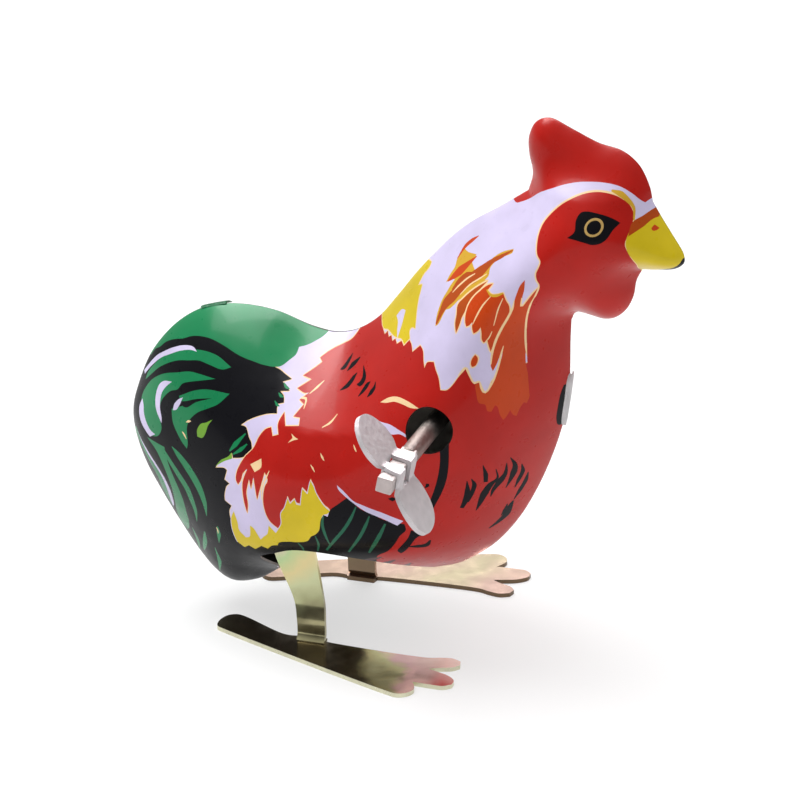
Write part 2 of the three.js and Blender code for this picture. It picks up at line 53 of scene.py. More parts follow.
# ---- shell ----
SEAM_GAP = 0.03               # half the gap between the two shells
TIN = 0.34                    # tinplate
FULLNESS = 2.0
DRAFT = 0.85
GRID = 0.75                   # spacing of the surface points
HEX_ROW = 0.866               # height of a row of the grid, for a spacing of 1
EDGE_RINGS = (0.18, 0.42, 0.75, 1.2)   # rings of points along the seam
GRID_CLEAR = 1.45             # the grid keeps this far from the seam
INK_CLEAR = 0.16              # and this far from the edge of an ink
INK_STEP = 0.3                # spacing along the edge of an ink
KEY_AXIS = (10.2, 41.3)
KEY_HOLE_R = 3.65

BACK = [(-20.5, 6.2), (-24, 3.9), (-28.2, 3), (-31.1, 4.5), (-34.2, 7.9), (-37.4, 12.5), (-40.4, 17.3),
        (-43, 22.1), (-44.6, 27), (-44.9, 31), (-43.8, 35.5), (-41.4, 41.2), (-37, 46.6), (-32.2, 49.7),
        (-27, 50.8), (-20.7, 50.4), (-14.6, 48.5), (-10.8, 48), (-7.5, 48.8), (-4, 51.2), (-0.7, 55.3),
        (2.6, 59.8), (5.8, 63.6), (8.9, 66.9), (12.1, 69.5), (15.4, 71.6), (20.2, 75)]
COMB = [(20.2, 75), (20.9, 77.8), (20.3, 80.8), (20.2, 83.6), (21.3, 86.1), (23.4, 87), (27, 85.6),
        (31.2, 83.8), (35, 82.9), (37.6, 80.9), (39.3, 77.6), (39.8, 75.3)]
BEAK = [(39.8, 75.3), (41.6, 72.4), (43.6, 69.4), (44.8, 67.4), (44.9, 66), (43.6, 64.9), (40.9, 64.4),
        (38.4, 64.2)]
WATTLE = [(38.4, 64.2), (37.5, 62.3), (37.1, 59.8), (36, 57.4), (34.2, 55.8), (32.4, 55.4), (30.2, 55.8),
          (28, 56), (27.3, 54.6)]
BREAST = [(27.3, 54.6), (27.2, 51.2), (27.2, 47), (27.1, 42), (26, 36.5), (24.3, 31), (22, 25.4),
          (19.3, 20.4), (15.9, 16), (12.6, 13.2), (9.4, 11.2), (6.3, 10.2)]
BELLY = [(6.3, 10.2), (0, 8), (-8, 6.6), (-14.5, 6.2), (-20.5, 6.2)]
OPENING = [(6.3, 10.2), (4.2, 13.2), (0.5, 15.9), (-5, 17), (-12.7, 17), (-16, 15.6), (-19.6, 13.2),
           (-18.6, 9.8), (-20.5, 6.2)]
SWELLS = [  # fuller and leaner places: amount, x, z, reach along x, reach along z
    (0.06, -8, 13, 14, 10),
    (0.15, -18, 12, 9, 8),
    (0.3, 6, 16, 12, 9),
    (0.3, 23, 35, 9, 16),
    (0.12, 9, 41, 16, 13),
    (-0.27, -36, 28, 17, 22),
    (-0.38, 28, 83, 13, 7),
    (-0.15, 32, 58, 7, 6),
]
COMB_BASE = (76.5, 82)        # between these heights the head flattens into the comb
COMB_HALF = 3.6
# the crease along the top of the pressed wing
RIDGE = [(-17.5, 37.5), (-15.1, 37.7), (-10, 37.3), (-5, 38), (-1, 39.2), (4, 41)]
RIDGE_HEIGHT = 1.0
RIDGE_ABOVE = 4.6
RIDGE_BELOW = 1.9
RIDGE_ROUND = 0.06            # softens the crease
RIDGE_FADE = 4.0              # length over which it dies out at both ends

# ---- inks, in linear light ----
INKS = {
    "lavender": (0.626, 0.564, 0.781),
    "cream": (0.86, 0.62, 0.34),
    "gold": (0.50, 0.33, 0.11),
    "yellow": (0.66, 0.50, 0.012),
    "ochre": (0.62, 0.36, 0.03),
    "red": (0.44, 0.010, 0.006),
    "brown": (0.54, 0.0525, 0.0048),
    "flame": (0.42, 0.065, 0.006),
    "band_orange": (0.42, 0.06, 0.004),
    "maroon": (0.045, 0.004, 0.005),
    "green": (0.006, 0.204, 0.072),
    "leaf": (0.16, 0.36, 0.03),
    "vein": (0.012, 0.11, 0.06),
    "black": (0.006, 0.006, 0.008),
}
INK_NAMES = list(INKS)


# ---- flat geometry ----
MERGE = 0.03                  # points nearer than this become one
SPECK = 1e-9                  # triangles smaller than this are dropped
CORNER = 62                   # edges of inks stay sharp where they turn by more than this, in degrees
EDGE_TURN = 1.2               # rims are rounded where two faces turn by more than this, in radians
SHARP_TURN = 38               # and shaded flat across a turn of more than this, in degrees


def spline(points, step, closed=False):
    """Centripetal Catmull-Rom curve through the points, evenly spaced, without its last point."""
    p = [np.array(q, float) for q in points]
    if closed:
        p = [p[-1]] + p + [p[0], p[1]]
    else:
        p = [2 * p[0] - p[1]] + p + [2 * p[-1] - p[-2]]
    dense = []
    for a, b, c, d in zip(p, p[1:], p[2:], p[3:]):
        t = [0]
        for u, v in ((a, b), (b, c), (c, d)):
            t.append(t[-1] + max(np.linalg.norm(v - u), 1e-4) ** 0.5)
        for k in range(12):
            s = t[1] + (t[2] - t[1]) * k / 12
            a1 = (t[1] - s) / (t[1] - t[0]) * a + (s - t[0]) / (t[1] - t[0]) * b
            a2 = (t[2] - s) / (t[2] - t[1]) * b + (s - t[1]) / (t[2] - t[1]) * c
            a3 = (t[3] - s) / (t[3] - t[2]) * c + (s - t[2]) / (t[3] - t[2]) * d
            b1 = (t[2] - s) / (t[2] - t[0]) * a1 + (s - t[0]) / (t[2] - t[0]) * a2
            b2 = (t[3] - s) / (t[3] - t[1]) * a2 + (s - t[1]) / (t[3] - t[1]) * a3
            dense.append((t[2] - s) / (t[2] - t[1]) * b1 + (s - t[1]) / (t[2] - t[1]) * b2)
    dense.append(p[-2])
    dense = np.array(dense)
    run = np.concatenate([[0], np.cumsum(np.linalg.norm(np.diff(dense, axis=0), axis=1))])
    count = max(2, round(run[-1] / step))
    at = np.linspace(0, run[-1], count + 1)[:-1]
    return np.column_stack([np.interp(at, run, dense[:, i]) for i in range(2)])


def outline_of(runs, step):
    return np.concatenate([spline(run, step) for run in runs])


def inked(points, step=INK_STEP, corner=CORNER):
    """A closed edge through the points, rounded except where it turns by more than the corner angle."""
    n = len(points)
    p = [np.array(q, float) for q in points]
    sharp = []
    for i in range(n):
        u, v = p[i] - p[i - 1], p[(i + 1) % n] - p[i]
        turn = abs(math.degrees(math.atan2(u[0] * v[1] - u[1] * v[0], float(u @ v))))
        if turn > corner:
            sharp.append(i)
    if not sharp:
        return spline(points, step, closed=True)
    runs = []
    for a, b in zip(sharp, sharp[1:] + [sharp[0] + n]):
        runs.append(spline([points[k % n] for k in range(a, b + 1)], step))
    return np.concatenate(runs)


def stroke(points, step=INK_STEP):
    """A brush stroke along (x, z, width) points."""
    line = spline([q[:2] for q in points], step)
    line = np.vstack([line, points[-1][:2]])
    along = np.concatenate([[0], np.cumsum(np.linalg.norm(np.diff(line, axis=0), axis=1))])
    spots = [0.0]
    for a, b in zip(points, points[1:]):
        spots.append(spots[-1] + math.dist(a[:2], b[:2]))
    half = np.interp(along / along[-1], np.array(spots) / spots[-1], [q[2] / 2 for q in points])
    ahead = np.gradient(line, axis=0)
    ahead /= np.linalg.norm(ahead, axis=1)[:, None]
    side = np.column_stack([-ahead[:, 1], ahead[:, 0]]) * half[:, None]
    return np.concatenate([line + side, (line - side)[::-1]])


def circle(x, z, radius, count):
    turn = np.linspace(0, 2 * math.pi, count, endpoint=False)
    return np.column_stack([x + radius * np.cos(turn), z + radius * np.sin(turn)])


def inside(loop, points):
    """Even-odd test of every point against one closed loop."""
    points = np.asarray(points, float)
    result = np.zeros(len(points), bool)
    box = (points >= loop.min(0)).all(1) & (points <= loop.max(0)).all(1)
    q = points[box]
    if len(q) == 0:
        return result
    x1, z1 = loop[:, 0], loop[:, 1]
    x2, z2 = np.roll(x1, -1), np.roll(z1, -1)
    level = z2 != z1
    x1, z1, x2, z2 = x1[level], z1[level], x2[level], z2[level]
    spans = (z1 > q[:, 1:2]) != (z2 > q[:, 1:2])
    cross = x1 + (q[:, 1:2] - z1) * (x2 - x1) / (z2 - z1)
    result[box] = ((spans & (q[:, 0:1] < cross)).sum(1) % 2) == 1
    return result


def loop_edges(loops):
    """The edges of closed loops whose points follow one another in one list."""
    edges, start = [], 0
    for loop in loops:
        n = len(loop)
        edges += [(start + k, start + (k + 1) % n) for k in range(n)]
        start += n
    return edges


def triangulated(points, loops, outline, holes):
    """Triangles that keep the edges of the loops, inside the outline and outside the holes."""
    made = delaunay_2d_cdt([Vector(p) for p in points], loop_edges(loops), [], 0, MERGE)
    flat, triangles = np.array([tuple(v) for v in made[0]]), np.array(made[2])
    middle = flat[triangles].mean(1)
    keep = inside(outline, middle)
    for hole in holes:
        keep &= ~inside(hole, middle)
    triangles, middle = triangles[keep], middle[keep]
    a, b, c = (flat[triangles[:, i]] for i in range(3))
    twice = (b[:, 0] - a[:, 0]) * (c[:, 1] - a[:, 1]) - (b[:, 1] - a[:, 1]) * (c[:, 0] - a[:, 0])
    triangles[twice < 0] = triangles[twice < 0][:, ::-1]
    real = np.abs(twice) > SPECK
    return flat, triangles[real], middle[real]


SEAM = outline_of([BACK, COMB, BEAK, WATTLE, BREAST, BELLY], 1.0)
RIM = outline_of([BACK, COMB, BEAK, WATTLE, BREAST, OPENING], 0.4)


# ---- shell surface ----
BATCH = 2000                  # points worked out at a time


def seam_distance(points):
    """A distance to the whole seam that has no creases."""
    a = SEAM
    b = np.roll(SEAM, -1, axis=0)
    length = np.linalg.norm(b - a, axis=1)
    u = (b - a) / length[:, None]
    total = np.zeros(len(points))
    for k in range(0, len(points), BATCH):
        q = points[k:k + BATCH]
        dx = a[None, :, 0] - q[:, 0:1]
        dz = a[None, :, 1] - q[:, 1:2]
        start = dx * u[:, 0] + dz * u[:, 1]
        end = start + length
        off = np.maximum((dx * u[:, 1] - dz * u[:, 0]) ** 2, 1e-6)
        pull = end / np.sqrt(off + end * end) - start / np.sqrt(off + start * start)
        total[k:k + BATCH] = (pull / off).sum(1)
    return np.sqrt(2 / np.maximum(total, 1e-9))


def half_width(points):
    points = np.asarray(points, float)
    width = FULLNESS * seam_distance(points) ** DRAFT
    swell = np.ones(len(points))
    for amount, x, z, rx, rz in SWELLS:
        swell += amount * np.exp(-(((points[:, 0] - x) / rx) ** 2) - ((points[:, 1] - z) / rz) ** 2)
    width = width * swell * np.where(inside(SEAM, points), 1, -1)
    share = np.clip((points[:, 1] - COMB_BASE[0]) / (COMB_BASE[1] - COMB_BASE[0]), 0, 1)
    share = share * share * (3 - 2 * share)
    width = (1 - share) * width + share * COMB_HALF * np.tanh(width / COMB_HALF)
    ridge = np.array(RIDGE)
    level = np.interp(points[:, 0], ridge[:, 0], ridge[:, 1])
    up = points[:, 1] - level
    reach = np.where(up > 0, RIDGE_ABOVE, RIDGE_BELOW)
    crest = np.exp(-(np.sqrt(up * up + RIDGE_ROUND) - math.sqrt(RIDGE_ROUND)) / reach)
    fade = np.clip((points[:, 0] - ridge[0, 0]) / RIDGE_FADE, 0, 1)
    fade *= np.clip((ridge[-1, 0] - points[:, 0]) / RIDGE_FADE, 0, 1)
    return width + RIDGE_HEIGHT * crest * fade * fade * (3 - 2 * fade)


def surface(points):
    """Half width and outward unit normal (for the left side) of the shell at x, z."""
    points = np.asarray(points, float)
    probe = 0.12                  # half the distance over which the slope is taken
    width = half_width(points)
    step_x, step_z = np.array([probe, 0]), np.array([0, probe])
    slope_x = (half_width(points + step_x) - half_width(points - step_x)) / (2 * probe)
    slope_z = (half_width(points + step_z) - half_width(points - step_z)) / (2 * probe)
    normal = np.column_stack([-slope_x, np.ones(len(points)), -slope_z])
    return width, normal / np.linalg.norm(normal, axis=1)[:, None]


# ---- the print: inks laid one over another, x and z in mm ----
PRINT = []
EYE = (33, 73.4)


def area(ink, *points, corner=CORNER):
    PRINT.append((ink, inked(points, corner=corner)))


def strokes(ink, *lines):
    for line in lines:
        PRINT.append((ink, stroke(line)))


def outlined(ink, edge, *points, width=0.35):
    """An area of ink with a line of another ink along its edge."""
    loop = inked(points)
    ahead = np.roll(loop, -1, axis=0) - np.roll(loop, 1, axis=0)
    ahead /= np.maximum(np.linalg.norm(ahead, axis=1), 1e-6)[:, None]
    turn = np.sign(np.sum(loop[:, 0] * np.roll(loop[:, 1], -1) - np.roll(loop[:, 0], -1) * loop[:, 1]))
    PRINT.append((edge, loop + np.column_stack([ahead[:, 1], -ahead[:, 0]]) * turn * width))
    PRINT.append((ink, loop))


# tail: black with green feathers and white quills
outlined("black", "cream", (-50, 0), (-50, 55), (-19, 55), (-19, 44.3), (-17.5, 43.9), (-16.4, 43.4),
         (-15.1, 42.9), (-16.4, 42.5), (-14.9, 41.6), (-16.4, 41.4), (-15.6, 40.9), (-15.3, 40.2),
         (-16.3, 39.9), (-16.2, 39.3), (-16, 38.8), (-18, 38.4), (-20, 37.6), (-21, 37), (-21.7, 36.4),
         (-20.8, 36.3), (-20, 35), (-19.5, 34.4), (-19.2, 33.3), (-20.6, 32), (-22.6, 31.3), (-22.8, 32),
         (-23.5, 31.2), (-25, 30.1), (-26, 28.7), (-24.2, 29.2), (-23.7, 29), (-24.2, 27.3),
         (-23.2, 26.9), (-23.8, 26.3), (-24.3, 24.5), (-24.3, 23.6), (-23, 23.1), (-23.5, 22),
         (-23.4, 20.5), (-23.1, 18), (-22.8, 16.5), (-22.4, 14.5), (-22, 12.5), (-20, 8), (-20, 0),
         width=0.1)
area("green", (-41.6, 40.4), (-40.8, 41.6), (-39.7, 42.4), (-38.8, 43.3), (-37.8, 44), (-36.6, 44.6),
     (-35, 45.2), (-33.3, 46), (-31.6, 46.4), (-29.9, 46.5), (-28.3, 46.3), (-26.6, 45.9), (-25, 45.4),
     (-23.5, 45), (-21.5, 44.6), (-20, 44.3), (-17.5, 44.2), (-16.3, 45), (-15.6, 45.6), (-15.5, 46.4),
     (-14.5, 46.6), (-13.5, 47), (-12, 48), (-11, 52), (-50, 56), (-50, 44))
area("green", (-25.1, 43.6), (-28, 44.7), (-31.5, 44.7), (-37, 42.9), (-41.5, 38.2), (-42, 36.8),
     (-40.5, 38.4), (-39, 39.9), (-37, 41.3), (-35, 42.3), (-33, 42.9), (-31, 43.4), (-29, 43.3),
     (-26.5, 43.1))
area("lavender", (-42.7, 37.8), (-41.5, 39.4), (-40, 41.15), (-38.5, 42.3), (-37, 43.3), (-35, 44.3),
     (-33.5, 44.75), (-32.5, 44.8), (-31.7, 44.4), (-33, 44.3), (-35, 43.6), (-37, 42.5), (-39, 41.2),
     (-41, 39.2), (-42.4, 37.4))
area("green", (-42.5, 34), (-41, 36.8), (-39.5, 38.3), (-37.5, 39.6), (-35, 40.6), (-32.5, 41.5),
     (-30.5, 41.7), (-27.4, 41.7), (-30, 40.9), (-32, 40.2), (-33.5, 39.5), (-34.5, 38.3), (-36, 37.5),
     (-37.8, 35.2), (-38, 33), (-37.5, 31), (-38.5, 29.3), (-40.3, 28.9), (-42.2, 30.8))
area("lavender", (-35.8, 39), (-37.5, 38.5), (-38.5, 37.6), (-39, 36.3), (-39.1, 34.8), (-38.8, 33.6),
     (-37.5, 31.9), (-37.5, 32.8), (-37.9, 34), (-38, 35), (-37.8, 36.5), (-37, 37.8))
area("green", (-33.2, 36.2), (-34, 37.5), (-31, 39.2), (-28.5, 40), (-24.5, 40.2), (-26.3, 38.4),
     (-28, 37.4), (-30, 36.2), (-31.5, 34.6), (-32, 33.3), (-31.8, 30.5), (-32, 29.7), (-33, 30.4),
     (-34, 31.5), (-35, 33), (-35.4, 35))
area("black", (-34.5, 36.7), (-33, 37), (-30.5, 38.1), (-27.5, 39), (-30.5, 37.6), (-32.5, 36.2))
area("lavender", (-33.2, 37.5), (-34, 37), (-34.9, 35.9), (-35.1, 34.9), (-34.4, 35.2), (-33.7, 36.3))
area("leaf", (-29.9, 33.5), (-29.2, 34.7), (-28.2, 35.2), (-27, 36), (-27.8, 34.8), (-28.2, 33.5),
     (-28.8, 32.6), (-29.8, 32.5))
area("lavender", (-42.3, 33.8), (-42.9, 32.5), (-42.9, 31), (-42.3, 29.8), (-41.2, 28.9), (-40.3, 28.4),
     (-39, 29.4), (-40, 29.6), (-41, 30.5), (-41.7, 31.8), (-41.9, 33))
area("green", (-45, 27.5), (-43, 25.2), (-41.6, 23.3), (-40, 21), (-39.3, 18.5), (-38.4, 16.6),
     (-37.4, 15.6), (-36.9, 18.5), (-37.3, 20.3), (-38.2, 22), (-39.5, 23.5), (-41, 24.9), (-42.8, 26.6),
     (-44, 28.2))
area("lavender", (-44, 28), (-42.8, 26.6), (-41, 24.9), (-39.5, 23.5), (-38.2, 22), (-37.3, 20.3),
     (-36.9, 18.5), (-37, 16.6), (-37.6, 15.6), (-37.7, 16.8), (-37.8, 18.3), (-38.1, 20), (-38.7, 21.6),
     (-40, 23.2), (-41.5, 24.6))
area("green", (-41, 28), (-39, 26.5), (-37.8, 24.5), (-37, 22.5), (-36.4, 20), (-36.5, 17), (-36.8, 14.8),
     (-36.3, 13), (-35, 12.2), (-34.2, 13.2), (-33.7, 15), (-33.8, 17), (-34, 19), (-34.6, 21), (-35.5, 23),
     (-36.5, 25.5), (-37, 28))
strokes("green",
        [(-37.2, 27.6, .1), (-36.5, 26.5, .8), (-34.2, 24, 1.2), (-32.6, 22.2, 1.3), (-31.8, 20.3, 1.2),
         (-31.3, 18.5, .8), (-31.4, 16.3, .1)],
        [(-35.3, 28.8, .1), (-34, 27.9, 1.1), (-32, 26.3, 1.6), (-30, 24, 1.6), (-28.9, 21.4, 1.1),
         (-28.7, 18.8, .1)],
        [(-29.9, 15, .3), (-30.3, 13, 1), (-31, 11.2, .8), (-31.6, 9.8, .2)],
        [(-26.5, 17.8, .2), (-26.5, 16.4, .9), (-26.9, 14.2, .1)],
        [(-38.6, 13.6, .1), (-36.4, 11.5, .9), (-34.6, 8.8, .9), (-33.6, 7, .1)],
        [(-33.2, 14, .1), (-32.6, 11.5, .9), (-33.3, 8.5, .1)],
        [(-28.2, 12.5, .1), (-28.2, 9.5, .8), (-29.4, 6, .1)])
strokes("cream", [(-32.2, 34, .1), (-31.7, 34.3, .4), (-31.2, 34.5, .1)], [(-33, 32.2, .1),
        (-32.6, 31.9, .4), (-32.1, 31.3, .1)], [(-26.8, 17.5, .1), (-26.6, 17, .3), (-26.6, 16.3, .1)])
area("leaf", (-26, 28.9), (-24.9, 30.3), (-23.5, 31.3), (-22.9, 32.1), (-22.7, 31.2), (-24.4, 30.2))
strokes("green", [(-23.3, 32.2, .2), (-22.3, 33.5, .8), (-20.7, 35.4, .2)], [(-22.6, 31.9, .2),
        (-21.2, 33, .6), (-20.2, 34, .2)], [(-16.2, 42.4, .1), (-15.7, 42, .4), (-15, 41.8, .1)],
        [(-16.6, 41.2, .1), (-16.2, 40.9, .4), (-15.6, 40.8, .1)], [(-16.9, 40.2, .1), (-16.4, 39.8, .4),
        (-15.9, 39.7, .1)])

# body: red saddle, wing and breast
outlined("red", "cream", (-5.5, 56), (-6.5, 50), (-7.5, 48), (-9, 47.1), (-10, 46.6), (-11, 46),
         (-11.8, 45.4), (-11.2, 45), (-12, 44.4), (-13.5, 43.4), (-12, 43.1), (-13.8, 42), (-12.5, 41.6),
         (-11.7, 41.7), (-12.9, 40.8), (-12, 40.4), (-13.1, 38.9), (-12, 38.9), (-11.8, 38), (-14, 37.7),
         (-14.8, 39.2), (-15.4, 37.8), (-15, 36.3), (-16, 35.9), (-16.5, 37), (-17.5, 36.5),
         (-18.3, 35.4), (-19, 33.7), (-20.3, 32.2), (-21.2, 30.7), (-21.8, 29.2), (-21.9, 28),
         (-21.5, 27.3), (-20.9, 28.3), (-20.6, 29.4), (-19.8, 30.4), (-20.6, 28), (-20.6, 26),
         (-20.3, 24.2), (-19.9, 22.8), (-19.7, 24.5), (-19.9, 26.5), (-19.4, 28.8), (-19, 27.3),
         (-18.6, 29.4), (-18.3, 28), (-17.9, 25.8), (-17.2, 28.3), (-16.6, 30.6), (-16, 29.5),
         (-16.5, 28.3), (-16.8, 26), (-16.5, 24), (-15.8, 22.5), (-14.4, 21.4), (-13.6, 21.8),
         (-13.1, 22.3), (-13.3, 23.6), (-13.7, 24.6), (-13, 25.8), (-12.4, 27.8), (-12, 26.8),
         (-11.2, 27.7), (-10.9, 27), (-10.2, 26.9), (-9.9, 29.7), (-9, 29), (-8.6, 31.2), (-8, 30.4),
         (-7.5, 29.3), (-6.9, 28.4), (-6.1, 27.4), (-5.3, 26.8), (-4, 18), (0, 8), (14, 4), (34, 20),
         (34, 46), (27, 50), (19, 49), (18.3, 47.4), (17.9, 47), (17.6, 47.4), (17.1, 48.7), (16.4, 48.5),
         (15.9, 49.2), (15, 50.8), (14, 49.5), (13.3, 48.4), (12.5, 47.6), (11.5, 47.5), (10.9, 49.2),
         (10.3, 50), (9.7, 51), (8.5, 50.6), (8.2, 49.8), (7.8, 50.6), (7.3, 51.8), (6.6, 52.2),
         (5.3, 50.9), (4.8, 51.7), (4.2, 52), (3.3, 50.9), (2.6, 51.3), (1.8, 50.6), (1.2, 51),
         (0.7, 50.5), (0.2, 51), (-0.3, 50.6), (-0.8, 51.1), (-1.3, 50.5), (-2, 50.9), (-4, 53),
         width=0.13)
strokes("cream", [(-15.8, 31, .1), (-16.4, 29.6, .3), (-17, 27.8, .3), (-17.1, 26, .1)],
        [(-9.9, 43.2, .1), (-10.7, 42.4, .3), (-11.6, 41.6, .1)], [(-5.9, 40.3, .1), (-6.7, 39.2, .3),
        (-7.9, 38.4, .1)], [(-7.4, 35.1, .1), (-7, 34.6, .35), (-6.6, 34.2, .1)], [(-8.8, 33.2, .1),
        (-8.4, 32.8, .3), (-8, 32.3, .1)], [(-12.8, 41, .1), (-11.9, 41, .35), (-11.8, 39.9, .1)],
        [(-1.9, 37.4, .1), (-1.6, 36.9, .3), (-1.3, 36.5, .1)])
area("cream", (-19.3, 31.2), (-17.4, 32.5), (-17.3, 31.2), (-18.4, 30.2))
area("cream", (-13.2, 35.5), (-12.3, 36), (-11.5, 36.3), (-12.1, 36.5), (-12.8, 36.9), (-12.5, 36.3))

# yellow patch and dark wing tip over the leg
outlined("yellow", "lavender", (-13.7, 24.4), (-13, 25.6), (-12.4, 27.4), (-12, 26.5), (-11.2, 27.4),
         (-10.9, 26.6), (-10.2, 26.6), (-9.9, 29.4), (-9, 28.7), (-8.6, 30.9), (-8, 30.1), (-7.5, 29),
         (-6.9, 28.1), (-6.1, 27.1), (-5.3, 26.5), (-5.7, 25.9), (-6.4, 25.6), (-6.9, 24.6), (-7.4, 22.5),
         (-8.2, 21.5), (-8.9, 21), (-9.8, 19.8), (-11.5, 19.2), (-13, 19), (-14.8, 18.4), (-14, 16),
         (-14, 10), (-19, 10), (-22.8, 16.5), (-23.3, 20.5), (-22.6, 22.3), (-22, 20.3), (-21.9, 19),
         (-20.8, 17.9), (-20, 18.3), (-19.6, 20.6), (-19, 20.3), (-18, 18.3), (-17.2, 19.2), (-16.6, 19.8),
         (-16.1, 21.6), (-15, 20.4), (-14.5, 21.2), (-13.8, 22.5), width=0.12)
area("black", (-24, 15.5), (-22.6, 16.2), (-21.6, 15.4), (-20.6, 16.2), (-19.6, 15.6), (-18.2, 16.8),
     (-17.2, 16.4), (-16.2, 17.4), (-14.8, 17.8), (-12, 18.6), (-10, 18), (-12, 14), (-19, 9), (-20, 4),
     (-28, 4), (-26, 12))
area("black", (-5.2, 26.7), (-4, 27.8), (-2.4, 29.2), (-1.5, 28.5), (-0.5, 27.6), (0.7, 27), (2, 26.4),
     (3.2, 25.7), (6, 24.8), (6.1, 23.6), (5.2, 22.6), (4.2, 20.9), (3, 19.4), (1, 17.9), (0, 15),
     (-14, 14), (-15.2, 17.4), (-14.8, 18.4), (-13, 19), (-11.5, 19.2), (-9.8, 19.8), (-8.9, 21),
     (-8.2, 21.5), (-7.4, 22.5), (-6.9, 24.6), (-6.4, 25.6), (-5.7, 25.4))
strokes("vein", [(-1, 27.8, .2), (-2, 25.5, .5), (-3.3, 23.3, .5), (-5, 21, .5), (-7, 18.2, .3)],
        [(1, 26.3, .2), (0.3, 24.5, .5), (-0.8, 22.3, .5), (-3.3, 18.5, .3)], [(3.3, 25, .3),
        (2.3, 22.8, .6), (1.2, 20.8, .6), (0, 18.8, .3)], [(-6.4, 25.4, .2), (-6.7, 24, .5),
        (-6.5, 22, .5), (-6, 19.5, .2)], [(-8.2, 21.2, .2), (-8, 19.5, .4), (-8.6, 17.6, .2)],
        [(-11.5, 19, .2), (-11, 18, .4), (-11, 17, .1)])
area("lavender", (-4.1, 31), (-3, 30.2), (-1.3, 28.7), (0, 28.2), (1.5, 27.6), (3, 27), (5.9, 25.4),
     (5, 24.6), (3.2, 25.8), (0.5, 27.1), (-1, 28.1), (-2.5, 29.2), (-3.9, 30.4))
strokes("red", [(7, 23.4, .2), (5.6, 22, .7), (4, 20, .5), (3.2, 18.6, .2)])
strokes("maroon", [(1.6, 17.6, .2), (-0.6, 16.6, .9), (-3, 15, .3)], [(3.2, 16.6, .2), (1.6, 15.6, .9),
        (-0.4, 14.4, .2)], [(4.8, 15, .1), (3.4, 13.6, .9), (2.2, 12.8, .2)], [(0.4, 16, .2),
        (-1.6, 15.2, .5), (-2.4, 14.4, .1)])

# wing edge strokes
area("black", (11.9, 40), (13.3, 40), (13.2, 37.5), (13, 35.3), (12.5, 32.8), (11.6, 30.3), (10.3, 27.6),
     (9.7, 26), (9.2, 27), (9.9, 29), (10.7, 31.2), (11.4, 33.6), (11.9, 36.5))
area("black", (9, 23.6), (8, 22.9), (6.8, 23.5), (6.2, 22), (5.2, 20.6), (4.3, 19.3), (4.6, 18.5),
     (5.4, 19.2), (6.4, 20.5), (7.4, 21.9), (8.2, 22.3))
strokes("black", [(6, 20.1, .2), (7.2, 19.9, .7), (8.3, 19.9, .8), (9, 20.9, .2)], [(4, 29.6, .1),
        (4.6, 29.5, .8), (5.2, 29.6, .1)], [(9.4, 31.5, .2), (9.9, 32, .6), (9.6, 32.2, .2)],
        [(-7.8, 44.7, .1), (-7.2, 45.1, .6), (-6.8, 45.9, .5), (-6.5, 46.7, .1)], [(-6.5, 44.8, .1),
        (-6, 45.5, .6), (-5.4, 46.1, .5), (-4.9, 46.7, .1)], [(-6.7, 42.7, .1), (-5.6, 43.5, .6),
        (-5, 44.4, .6), (-4.6, 45.1, .1)], [(-4, 44, .1), (-3.4, 44.2, .6), (-3, 45, .8),
        (-3.8, 46.1, .1)], [(-3.1, 42.9, .1), (-2.5, 43.7, .5), (-2, 44.5, .6), (-1.6, 45, .1)],
        [(-1.4, 43.3, .1), (-0.9, 44, .6), (-0.5, 44.7, .5), (-0.6, 45.3, .1)])
strokes("black", [(13.7, 26.5, .5), (14.4, 28, .8), (14.9, 30, .7), (15.1, 32, .1)], [(14.6, 27.5, .3),
        (15.4, 29.4, .6), (15.9, 31, .6), (15.7, 32.3, .1)], [(15.3, 25.3, .1), (16, 26.8, .6),
        (16.8, 28.6, 1), (17.8, 30.3, .8), (18.7, 31.2, .3), (18.8, 33.2, .1)], [(17.3, 31, .5),
        (17.5, 32.6, .6), (17.4, 34.6, .1)], [(17.4, 27.6, .1), (17.9, 28.9, .5), (19, 30.6, .9),
        (19.7, 31.8, .5), (20.1, 33.8, .1)], [(19.3, 28.6, .1), (19.9, 29.8, .4), (20.6, 31.5, .8),
        (20.9, 33, .5), (20.6, 34.7, .1)], [(20.2, 28, .1), (20.9, 29.6, .5), (21.5, 31, .5),
        (21.6, 32.6, .1)], [(19.7, 25.4, .1), (20.6, 27, .5), (21.5, 28.8, .5), (22, 30.4, .1)],
        [(16, 20.4, .2), (17.3, 21.4, .6), (18.4, 22.6, .8), (19, 24, .7), (19.6, 25.2, .2)],
        [(17.8, 22.6, .1), (18.4, 23.6, .5), (18.9, 24.9, .1)])
area("cream", (1.3, 43.5), (2.6, 44.4), (4, 44.9), (5.3, 45), (7, 44.8), (8.4, 44.4), (7, 44.2),
     (5.3, 44.3), (3.8, 44.2), (2.4, 43.7))
area("lavender", (0.6, 41.5), (2.2, 41.3), (4, 41.2), (5.6, 40.8), (6.7, 40.4), (6.9, 40), (5.6, 40.3),
     (4.4, 40), (3.2, 40.1), (2, 40.8))

# shade of the gap under the tab on the breast
area("black", (29, 45.3), (27.1, 45.1), (26.5, 43.8), (26, 41), (25.7, 38.6), (25.8, 37.4), (26.4, 37),
     (29, 41))

